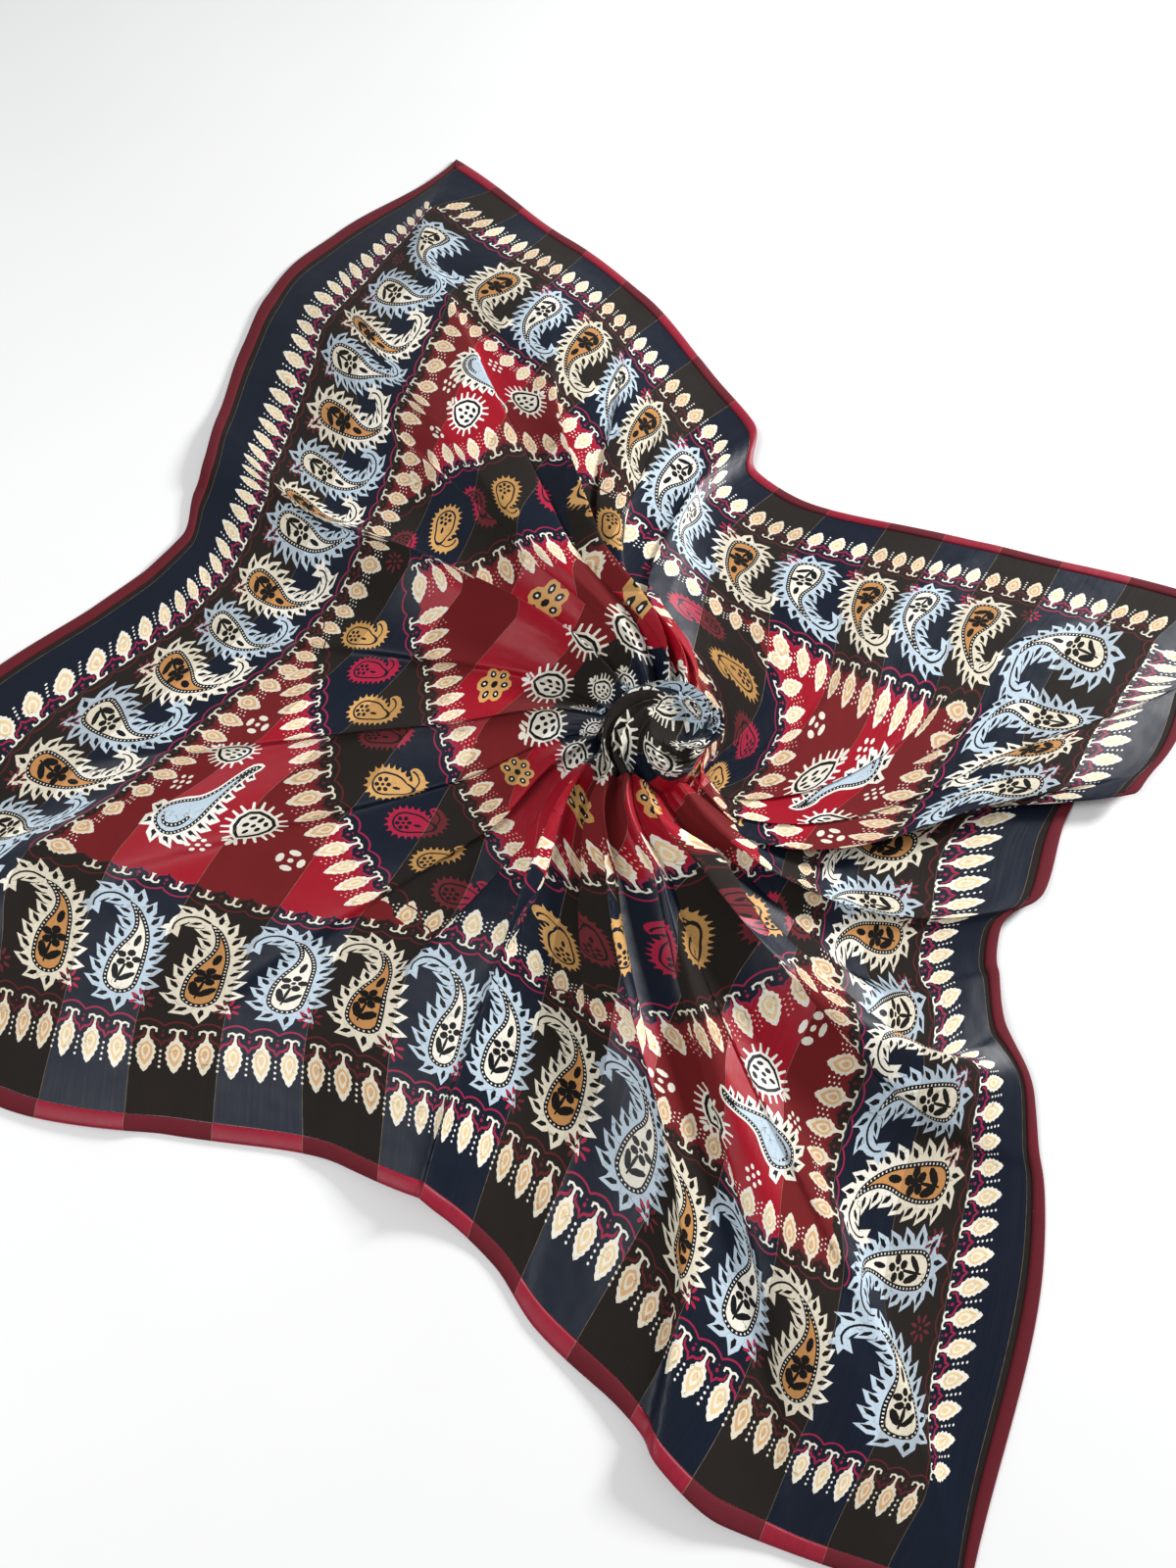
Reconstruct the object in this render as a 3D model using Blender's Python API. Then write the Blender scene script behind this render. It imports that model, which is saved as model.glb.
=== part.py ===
"""A large square silk scarf that lies on a table, its middle pinched up and twisted into a knot of
folds, so that its sides curve in between the four corners.

Every point of the cloth is found in two steps. A point of the flat square is given by its bearing
and its flat distance from the place where the cloth was grabbed. Three sections of the square (the
inner diamond of the print, the middle of its wide border, and the hem) say where such a point lies
on the table, and the folds then lift it and lean it over.
"""

import math

import bpy
import numpy as np

# Driving sizes, in metres
SIDE = 1.10  # the hemmed square, cut flat
WALL = 0.0015  # the cloth, a little thicker than silk so that it is a sound solid
HEM_WIDTH = 0.012  # the rolled hem, seen from above
HEM_THICK = 0.0032
SEAM = 0.0003  # between pieces that are sewn together
TOUCH = 0.0020  # cloth lifted less than this lies on the table

# The weave: satin and matte stripes of one width, counted from the middle of the square
STRIPES = 18.6
STRIPE = SIDE / STRIPES
HEM_AT = STRIPES / 2
BORDER_AT = 7.0
DIAMOND_AT = 5.0
GRABBED = (1.0 * STRIPE, 0.2 * STRIPE)  # the place of the flat square that was pinched

# The twist: the cloth within FOOT_FLAT of the grabbed place is wound into it
FOOT_FLAT = 0.105
FOOT_REACH = 0.043
FOOT_SWING = math.radians(-58)
FOOT_LIFT = 0.020
TWIST_TOP = 0.070
TWIST_TURN = math.radians(-150)
TWIST_LEAN = (0.024, 0.000)  # its top lies this far to the side of its foot
TWIST_ROUND = 0.48  # 1 is a cone, less is rounder
TWIST_RIDGE = 0.35  # how far the wound folds stand out, as a share of its radius
TWIST_DIMPLE = 0.012  # the sunk middle of the rolled cloth
DIMPLE_FROM = 0.75  # share of the height at which it starts to sink
TWIST_BATTER = 0.008  # its flat underside is this much smaller all round

# Sections: along = stripes from the middle of the side, x and y = centimetres on the table from
# the twist, lift = millimetres. Sides, as they lie: far (top right), right, near and left.
DIAMOND = (
    # u, v, x, y, lift
    (-5.0, 0.0, -21.0, 15.5, 22),
    (-2.5, -2.5, -17.0, 0.0, 12),
    (0.0, -5.0, -10.5, -12.5, 10),
    (2.5, -2.5, 0.0, -12.5, 16),
    (5.0, 0.0, 10.0, -11.0, 12),
    (2.5, 2.5, 3.5, -2.5, 8),
    (0.0, 5.0, -0.5, 15.5, 18),
    (-2.5, 2.5, -8.5, 19.0, 36),
)
BORDER = {
    # along, x, y, lift
    "far": (
        (-7.0, -21.0, 57.5, 22),
        (-5.5, -14.0, 49.5, 28),
        (-3.5, -5.0, 41.5, 30),
        (-1.5, 0.0, 31.5, 24),
        (-0.5, 3.0, 26.5, 18),
        (0.5, 4.5, 22.0, 14),
        (1.5, 9.0, 18.0, 12),
        (3.5, 19.5, 14.0, 12),
        (5.5, 29.0, 12.0, 8),
    ),
    "right": (
        (7.0, 35.5, 9.5, 6),
        (5.7, 31.0, 3.0, 10),
        (4.8, 29.5, -1.0, 16),
        (3.8, 27.0, -3.0, 20),
        (1.9, 21.0, -6.0, 3),
        (1.0, 16.5, -9.0, 4),
        (0.0, 16.0, -13.0, 6),
        (-1.0, 16.0, -16.5, 4),
        (-1.9, 17.0, -22.5, 6),
        (-2.9, 18.5, -24.5, 5),
        (-3.8, 17.5, -29.0, 4),
        (-5.7, 15.0, -39.5, 3),
    ),
    "near": (
        (7.0, 15.0, -46.0, 3),
        (5.5, 8.5, -43.5, 3),
        (4.5, 5.0, -39.0, 4),
        (3.5, 1.5, -35.5, 4),
        (2.5, -2.0, -29.5, 4),
        (1.5, -7.0, -25.5, 4),
        (0.5, -11.5, -23.0, 3),
        (-0.5, -16.0, -21.5, 4),
        (-1.5, -22.0, -19.0, 4),
        (-3.5, -34.5, -17.5, 2),
        (-5.5, -47.0, -14.0, 3),
    ),
    "left": (
        (-7.0, -56.0, -11.5, 3),
        (-5.7, -49.5, -6.0, 6),
        (-3.8, -43.0, 3.0, 9),
        (-2.9, -38.5, 7.5, 12),
        (-1.9, -34.5, 11.5, 14),
        (-0.9, -31.5, 16.0, 14),
        (0.0, -29.5, 21.5, 16),
        (1.0, -29.0, 24.0, 18),
        (2.9, -27.0, 34.5, 22),
        (3.8, -26.5, 41.5, 24),
        (4.8, -25.0, 44.5, 24),
        (5.7, -23.0, 51.0, 22),
    ),
}
HEM = {
    # along, x, y, lift
    "far": (
        (-9.3, -19.5, 73.5, 2),
        (-5.5, -7.0, 61.0, 2),
        (-3.5, 1.0, 52.5, 2),
        (-1.5, 7.5, 41.5, 2),
        (-0.5, 10.5, 35.0, 6),
        (0.5, 11.0, 29.5, 3),
        (1.5, 15.0, 26.5, 2),
        (3.5, 25.0, 23.0, 4),
        (5.5, 35.0, 20.5, 1),
    ),
    "right": (
        (9.3, 55.5, 13.0, 1),
        (5.7, 46.5, 7.0, 4),
        (4.8, 43.5, 2.0, 10),
        (3.8, 39.5, -2.0, 17),
        (1.9, 36.0, -2.5, 2),
        (1.0, 33.0, -6.5, 3),
        (0.0, 30.5, -11.5, 4),
        (-1.0, 26.5, -15.0, 2),
        (-1.9, 26.0, -18.5, 1),
        (-2.9, 26.0, -23.0, 1),
        (-3.8, 27.0, -27.5, 1),
        (-5.7, 26.0, -38.5, 1),
    ),
    "near": (
        (9.3, 18.0, -58.0, 1),
        (5.5, 3.5, -53.5, 1),
        (4.5, -1.0, -49.5, 1),
        (3.5, -4.5, -46.0, 1),
        (2.5, -8.5, -42.5, 1),
        (1.5, -11.5, -38.5, 1),
        (0.5, -15.0, -35.5, 1),
        (-0.5, -17.5, -34.0, 4),
        (-1.5, -22.5, -32.0, 1),
        (-3.5, -35.0, -30.0, 1),
        (-5.5, -47.5, -28.0, 1),
    ),
    "left": (
        (-9.3, -63.5, -25.0, 1),
        (-5.7, -61.5, 0.5, 1),
        (-3.8, -48.5, 15.0, 2),
        (-2.9, -44.5, 19.0, 2),
        (-1.9, -42.0, 22.5, 2),
        (-0.9, -41.5, 27.5, 3),
        (0.0, -41.0, 30.5, 5),
        (1.0, -40.5, 36.0, 3),
        (2.9, -39.5, 46.0, 2),
        (3.8, -38.0, 52.5, 2),
        (4.8, -35.5, 57.5, 2),
        (5.7, -31.5, 62.0, 2),
    ),
}

# Folds: each runs outwards from the twist, from one bearing of the cloth (degrees) to another.
# Heights in millimetres at the twist, diamond, border and hem; half = half width in degrees;
# lean = millimetres that the crest overhangs at the same four places, to the side below it.
FOOT_SPREAD = 1.4  # a fold is this many times its half width at the twist
FOLDS = (
    # name, bearing in, bearing out, heights, half, lean
    ("right overlap", 26, 18, (6, 6, 0, 0), 11, (0, 4, 15, 13)),
    ("right ridge", 0, -4, (8, 10, 9, 6), 6, (0, 2, 5, 4)),
    ("long ridge", -40, -21, (16, 26, 24, 6), 8, (0, 9, 9, 2)),
    ("deep pleat", -58, -54, (18, 16, 5, 0), 6, (0, 4, 0, 0)),
    ("slim pleat", -75, -71, (20, 18, 9, 5), 6, (0, 3, 2, 1)),
    ("notch pleat", -98, -99, (15, 13, 7, 8), 6, (0, 1, 1, 1)),
    ("near swell", -122, -122, (12, 6, 3, 0), 9, (0, 0, 0, 0)),
    ("left crease", -147, -147, (13, 9, 7, 2), 7, (0, 2, 1, 0)),
    ("pocket", 176, 179, (16, 15, 7, 5), 7, (0, 6, 2, 1)),
    ("broad fold", 152, 152, (20, 14, 3, 0), 9, (0, 4, 0, 0)),
    ("far pleat", 129, 127, (22, 15, 3, 0), 6, (0, 3, 0, 0)),
    ("thin pleat", 112, 109, (22, 14, 2, 0), 5, (0, 2, 0, 0)),
    ("far tip", 98, 97, (20, 11, 7, 6), 6, (0, 2, 2, 3)),
    ("upper swell", 72, 72, (10, 5, 3, 4), 7, (0, 0, 0, 0)),
    ("corner swell", 48, 48, (8, 4, 2, 0), 9, (0, 0, 0, 0)),
)

# How finely the cloth is divided
RAYS_A_SIDE = 28
RINGS = 20
RING_SPREAD = 1.15
FOLD_RAYS = 3.0  # how much closer the rays stand across a fold
TWIST_RINGS = 12

# Finishes: base colour, roughness
PRINT_NAVY = (0.018, 0.024, 0.036)
PRINT_RED = (0.30, 0.012, 0.026)
HEM_RED = (0.42, 0.030, 0.055)
SILK_ROUGHNESS = 0.38


def side_places(side, along, edge):
    """Places on the flat square, in stripes, of points along one side of the square of half size
    edge."""
    if side in ("far", "near"):
        return along, edge if side == "far" else -edge
    return (edge if side == "right" else -edge), along


def section_rows(section, edge):
    """A section's rows as u, v, x, y, lift."""
    rows = []
    for side, places in section.items():
        for along, x, y, lift in places:
            rows.append((*side_places(side, along, edge), x, y, lift))
    return rows


def slopes(steps, rises):
    """Slopes of a smooth curve that never overshoots its rows."""
    before, after = rises[..., :-1], rises[..., 1:]
    weight_a = 2 * steps[..., 1:] + steps[..., :-1]
    weight_b = steps[..., 1:] + 2 * steps[..., :-1]
    same = before * after > 0
    safe_before = np.where(same, before, 1)
    safe_after = np.where(same, after, 1)
    mean = (weight_a + weight_b) / (weight_a / safe_before + weight_b / safe_after)
    inner = np.where(same, mean, 0)
    return np.concatenate([rises[..., :1], inner, rises[..., -1:]], axis=-1)


def hermite(t, step, start, end, slope_start, slope_end):
    """The cubic between two rows, a step apart."""
    u = 1 - t
    return (
        (1 + 2 * t) * u * u * start
        + t * u * u * step * slope_start
        + t * t * (3 - 2 * t) * end
        - t * t * u * step * slope_end
    )


def around(bearing, knots, values):
    """A closed smooth curve through values at knots, read at each bearing."""
    steps = np.diff(knots)
    rises = np.diff(values) / steps
    slope = slopes(steps, rises)
    row = np.clip(np.searchsorted(knots, bearing) - 1, 0, len(steps) - 1)
    t = (bearing - knots[row]) / steps[row]
    return hermite(t, steps[row], values[row], values[row + 1], slope[row], slope[row + 1])


def outwards(flat, stations, values):
    """A smooth curve through each ray's four stations, read at its flat distance."""
    steps = np.diff(stations, axis=1)
    slope = slopes(steps, np.diff(values, axis=1) / steps)
    row = (flat[:, None] > stations[:, 1:-1]).sum(axis=1)
    ray = np.arange(len(flat))
    step = steps[ray, row]
    t = (flat - stations[ray, row]) / step
    return hermite(
        t, step, values[ray, row], values[ray, row + 1], slope[ray, row], slope[ray, row + 1]
    )


def turned(angle):
    """An angle brought to between minus pi and pi."""
    return (angle + math.pi) % (2 * math.pi) - math.pi


class Section:
    """A closed line of the flat square, and where it lies."""

    def __init__(self, rows, edge, is_square):
        table = np.array(sorted(rows, key=self.bearing_of), float)
        out = table[:, :2] * STRIPE - GRABBED
        bearing = np.arctan2(out[:, 1], out[:, 0])
        place = table[:, 2:4] / 100
        draw_in = np.hypot(*place.T) / np.hypot(*out.T)
        swing = turned(np.arctan2(place[:, 1], place[:, 0]) - bearing)
        # An outward swing past half a turn is the same as one back
        swing = np.where(swing > math.pi / 2, swing - 2 * math.pi, swing)
        lap = 2 * math.pi
        self.knots = np.concatenate([bearing[-4:] - lap, bearing, bearing[:4] + lap])
        self.draw_in, self.swing, self.lift = (
            np.concatenate([values[-4:], values, values[:4]])
            for values in (draw_in, swing, table[:, 4] / 1000)
        )
        self.edge = edge * STRIPE
        self.is_square = is_square

    @staticmethod
    def bearing_of(row):
        return math.atan2(row[1] * STRIPE - GRABBED[1], row[0] * STRIPE - GRABBED[0])

    def flat_distance(self, bearing):
        """How far from the grabbed place each bearing meets the line on the flat square."""
        return line_distance(bearing, self.edge, self.is_square)

    def read(self, bearing):
        """Flat distance, reach on the table, swing and lift at each bearing."""
        bearing = turned(bearing)
        flat = self.flat_distance(bearing)
        reach = flat * around(bearing, self.knots, self.draw_in)
        swing = around(bearing, self.knots, self.swing)
        lift = around(bearing, self.knots, self.lift)
        return flat, reach, swing, lift


def line_distance(bearing, edge, is_square):
    """Distance from the grabbed place to a square, or a diamond, about the cloth's middle."""
    east, north = np.cos(bearing), np.sin(bearing)
    if is_square:
        normals = ((1, 0), (-1, 0), (0, 1), (0, -1))
    else:
        normals = ((1, 1), (1, -1), (-1, 1), (-1, -1))
    nearest = np.full(np.shape(bearing), np.inf)
    for a, b in normals:
        towards = a * east + b * north
        left = edge - a * GRABBED[0] - b * GRABBED[1]
        distance = np.where(towards > 1e-6, left / np.maximum(towards, 1e-6), np.inf)
        nearest = np.minimum(nearest, distance)
    return nearest


SECTIONS = (
    Section(DIAMOND, DIAMOND_AT, False),
    Section(section_rows(BORDER, BORDER_AT), BORDER_AT, True),
    Section(section_rows(HEM, HEM_AT), HEM_AT, True),
)


def lay(bearing, flat):
    """Where points of the cloth lie: x, y and height of its upper face, from the twist's foot."""
    read = [section.read(bearing) for section in SECTIONS]
    same = np.ones(np.shape(bearing))
    stations = np.stack([FOOT_FLAT * same] + [r[0] for r in read], axis=1)
    reach = outwards(flat, stations, np.stack([FOOT_REACH * same] + [r[1] for r in read], axis=1))
    swing = outwards(flat, stations, np.stack([FOOT_SWING * same] + [r[2] for r in read], axis=1))
    lift = outwards(flat, stations, np.stack([FOOT_LIFT * same] + [r[3] for r in read], axis=1))
    angle = bearing + swing
    along = np.clip((flat - FOOT_FLAT) / (stations[:, 3] - FOOT_FLAT), 0, 1)
    sideways = np.zeros(np.shape(bearing))
    for _, bearing_in, bearing_out, heights, half, leans in FOLDS:
        middle = np.radians(bearing_in + (bearing_out - bearing_in) * along)
        width = np.radians(half) * (FOOT_SPREAD + (1 - FOOT_SPREAD) * along)
        across = turned(bearing - middle) / width
        height = outwards(flat, stations, np.outer(same, heights)) / 1000
        lean = outwards(flat, stations, np.outer(same, leans)) / 1000
        lift = lift + height * np.exp(-(across**2))
        # Both flanks move towards the crest's middle, most at half a width from it
        sideways = sideways - lean * 2 * across * np.exp(0.5 - 2 * across**2)
    x = reach * np.cos(angle) - sideways * np.sin(angle)
    y = reach * np.sin(angle) + sideways * np.cos(angle)
    return np.stack([x, y, WALL + np.maximum(lift - TOUCH, 0)], axis=1)


def ray_bearings():
    """Bearings of the rays that the cloth is divided by: one at each corner, and closer together
    across a fold."""
    corners = [
        math.atan2(v * HEM_AT * STRIPE - GRABBED[1], u * HEM_AT * STRIPE - GRABBED[0])
        for u, v in ((-1, -1), (1, -1), (1, 1), (-1, 1))
    ]
    corners.append(corners[0] + 2 * math.pi)
    bearings = []
    for start, end in zip(corners[:-1], corners[1:]):
        fine = np.linspace(start, end, 400)
        density = np.ones(400)
        for _, bearing_in, bearing_out, _, half, _ in FOLDS:
            middle = math.radians((bearing_in + bearing_out) / 2)
            across = turned(fine - middle) / math.radians(half)
            density += FOLD_RAYS * np.exp(-((across / 1.3) ** 2))
        share = np.concatenate([[0], np.cumsum((density[1:] + density[:-1]) / 2)])
        wanted = np.linspace(0, share[-1], RAYS_A_SIDE + 1)[:-1]
        bearings.extend(np.interp(wanted, share, fine))
    return np.array(bearings)


def normals_of(grid):
    """Unit normals of a closed ring of rays, grid[ring, ray], facing up where it is flat."""
    along = np.gradient(grid, axis=0)
    around_it = np.roll(grid, -1, axis=1) - np.roll(grid, 1, axis=1)
    normal = np.cross(along, around_it)
    return normal / np.linalg.norm(normal, axis=2, keepdims=True)


def make_solid(name, points, faces, colour, roughness=SILK_ROUGHNESS, sharp=35):
    """One named solid with its own material."""
    mesh = bpy.data.meshes.new(name)
    mesh.from_pydata([tuple(p) for p in points], [], faces)
    mesh.validate()
    mesh.shade_smooth()
    mesh.set_sharp_from_angle(angle=math.radians(sharp))
    solid = bpy.data.objects.new(name, mesh)
    bpy.context.scene.collection.objects.link(solid)
    material = bpy.data.materials.new(name)
    material.use_nodes = True
    shader = material.node_tree.nodes["Principled BSDF"]
    shader.inputs["Base Color"].default_value = (*colour, 1)
    shader.inputs["Roughness"].default_value = roughness
    shader.inputs["Metallic"].default_value = 0
    mesh.materials.append(material)
    return solid


def panel(bearings, middle):
    """The woven square, from the foot of the twist to its hem, as a wall."""
    edge = line_distance(bearings, HEM_AT * STRIPE - HEM_WIDTH - SEAM, True)
    rings = []
    for ring in range(RINGS + 1):
        share = (ring / RINGS) ** RING_SPREAD
        rings.append(lay(bearings, FOOT_FLAT + (edge - FOOT_FLAT) * share) - middle)
    top = np.array(rings)
    bottom = top - normals_of(top) * WALL
    for rim in (0, -1):
        bottom[rim] = top[rim] - (0, 0, WALL)
    bottom[:, :, 2] = np.maximum(bottom[:, :, 2], 0)
    count = len(bearings)
    sheet = (RINGS + 1) * count
    points = np.concatenate([top.reshape(-1, 3), bottom.reshape(-1, 3)])
    faces = []
    for ring in range(RINGS):
        for ray in range(count):
            following = (ray + 1) % count
            a, b = ring * count + ray, ring * count + following
            c, d = a + count, b + count
            faces.append((a, c, d, b))
            faces.append((a + sheet, b + sheet, d + sheet, c + sheet))
    for ray in range(count):
        following = (ray + 1) % count
        faces.append((ray, following, following + sheet, ray + sheet))
        a, b = RINGS * count + ray, RINGS * count + following
        faces.append((a, a + sheet, b + sheet, b))
    return make_solid("panel", points, faces, PRINT_NAVY)


def hem(name, side, bearings, middle):
    """The rolled hem along one side, a flattened roll with mitred ends."""
    outer_edge = HEM_AT * STRIPE
    crown = HEM_THICK - WALL
    section = (  # inset from the edge, height above the cloth's upper face
        (HEM_WIDTH, -WALL),
        (HEM_WIDTH, 0.2 * crown),
        (0.7 * HEM_WIDTH, crown),
        (0.3 * HEM_WIDTH, crown),
        (0.0, 0.2 * crown),
        (0.0, -WALL),
    )
    limits = [side_places(side, end * HEM_AT, HEM_AT) for end in (-1, 1)]
    start, end = (Section.bearing_of(place) for place in limits)
    if side in ("far", "left"):
        start, end = end, start
    if end < start:
        end += 2 * math.pi
    inside = [b + lap for lap in (0, 2 * math.pi) for b in bearings]
    inside = [b for b in inside if start + 1e-6 < b < end - 1e-6]
    lines = []
    for inset, height in section:
        edge = outer_edge - inset
        ends = []
        for place, step in ((start, 1), (end, -1)):
            corner = line_distance(np.array([place]), edge, True)
            ends.append(place + step * SEAM / corner[0])
        line = np.array([ends[0], *inside, ends[1]])
        points = lay(line, line_distance(line, edge, True)) - middle
        points[:, 2] = np.maximum(points[:, 2] + height, 0)
        lines.append(points)
    count = len(lines[0])
    around_it = len(section)
    points = np.concatenate(lines)
    faces = []
    for corner in range(around_it):
        following = (corner + 1) % around_it
        for step in range(count - 1):
            a, b = corner * count + step, following * count + step
            faces.append((a, b, b + 1, a + 1))
    faces.append(tuple(corner * count for corner in reversed(range(around_it))))
    faces.append(tuple(corner * count + count - 1 for corner in range(around_it)))
    return make_solid(name, points, faces, HEM_RED)


def twist_point(bearings, share, inset=0.0):
    """Points of the twist at a share of the way from its foot, 0, to its top, 1."""
    foot = lay(bearings, np.full(len(bearings), FOOT_FLAT))
    reach = np.hypot(foot[:, 0], foot[:, 1]) - inset
    angle = np.arctan2(foot[:, 1], foot[:, 0]) + TWIST_TURN * share
    ridge = (foot[:, 2] - foot[:, 2].mean()) / np.ptp(foot[:, 2])
    stands_out = 1 + TWIST_RIDGE * ridge * math.sin(math.pi * share) ** 2
    narrow = (1 - share) ** TWIST_ROUND * stands_out
    sink = TWIST_DIMPLE * max(0, share - DIMPLE_FROM) / (1 - DIMPLE_FROM)
    x = reach * narrow * np.cos(angle) + TWIST_LEAN[0] * share
    y = reach * narrow * np.sin(angle) + TWIST_LEAN[1] * share
    z = foot[:, 2] + (TWIST_TOP - foot[:, 2]) * math.sin(share * math.pi / 2) - sink
    return np.stack([x, y, z], axis=1)


def twist(bearings, middle):
    """The knot of folds in the middle, one rounded solid whose ridges wind up to its top."""
    base = twist_point(bearings, 0.0, SEAM + TWIST_BATTER) - middle
    base[:, 2] = 0
    shares = [ring / TWIST_RINGS for ring in range(TWIST_RINGS)]
    layers = [base] + [twist_point(bearings, share, SEAM) - middle for share in shares]
    count = len(bearings)
    points = np.concatenate(layers)
    top_middle = twist_point(bearings, 1.0).mean(axis=0) - middle
    bottom_middle = base.mean(axis=0)
    points = np.concatenate([points, [top_middle, bottom_middle]])
    top_index, bottom_index = len(points) - 2, len(points) - 1
    faces = []
    for layer in range(len(layers) - 1):
        for ray in range(count):
            following = (ray + 1) % count
            a, b = layer * count + ray, layer * count + following
            faces.append((a, b, b + count, a + count))
    last = (len(layers) - 1) * count
    for ray in range(count):
        following = (ray + 1) % count
        faces.append((last + ray, last + following, top_index))
        faces.append((following, ray, bottom_index))
    return make_solid("twist", points, faces, PRINT_RED)


def main():
    for old in list(bpy.data.objects):
        bpy.data.objects.remove(old, do_unlink=True)
    bearings = ray_bearings()
    edge = lay(bearings, line_distance(bearings, HEM_AT * STRIPE, True))
    middle = np.array([*(edge[:, :2].min(axis=0) + edge[:, :2].max(axis=0)) / 2, 0])
    panel(bearings, middle)
    for side in ("far", "right", "near", "left"):
        hem(f"hem_{side}", side, bearings, middle)
    twist(bearings, middle)


main()
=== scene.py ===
import math

import bpy
import numpy as np
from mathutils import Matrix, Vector
from mathutils.geometry import delaunay_2d_cdt


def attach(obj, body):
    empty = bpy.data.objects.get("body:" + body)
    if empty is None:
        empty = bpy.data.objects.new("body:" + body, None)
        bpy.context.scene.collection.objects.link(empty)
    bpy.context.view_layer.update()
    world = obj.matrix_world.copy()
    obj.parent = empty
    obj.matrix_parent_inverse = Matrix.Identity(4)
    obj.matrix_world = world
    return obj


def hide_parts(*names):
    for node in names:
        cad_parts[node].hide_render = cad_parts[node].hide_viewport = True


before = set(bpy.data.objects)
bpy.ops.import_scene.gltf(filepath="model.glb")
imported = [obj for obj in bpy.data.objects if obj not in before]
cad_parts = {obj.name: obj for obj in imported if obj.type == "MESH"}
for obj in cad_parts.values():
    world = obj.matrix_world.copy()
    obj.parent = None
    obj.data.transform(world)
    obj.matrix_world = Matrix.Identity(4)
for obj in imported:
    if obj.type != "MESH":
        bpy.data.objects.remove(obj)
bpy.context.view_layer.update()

# ---- The cloth, as part.py lays it: metres, and stripes on the flat square ----
SIDE = 1.10
HEM_WIDTH = 0.012
SEAM = 0.0003
WALL = 0.0015
TOUCH = 0.0020
STRIPES = 18.6
STRIPE = SIDE / STRIPES
HEM_AT = STRIPES / 2
BORDER_AT = 7.0
DIAMOND_AT = 5.0
GRABBED = (1.0 * STRIPE, 0.2 * STRIPE)

FOOT_FLAT = 0.105
FOOT_REACH = 0.043
FOOT_SWING = math.radians(-58)
FOOT_LIFT = 0.020
TWIST_TOP = 0.070
TWIST_TURN = math.radians(-150)
TWIST_LEAN = (0.024, 0.000)
TWIST_ROUND = 0.48
TWIST_RIDGE = 0.35
TWIST_DIMPLE = 0.012
DIMPLE_FROM = 0.75

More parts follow.
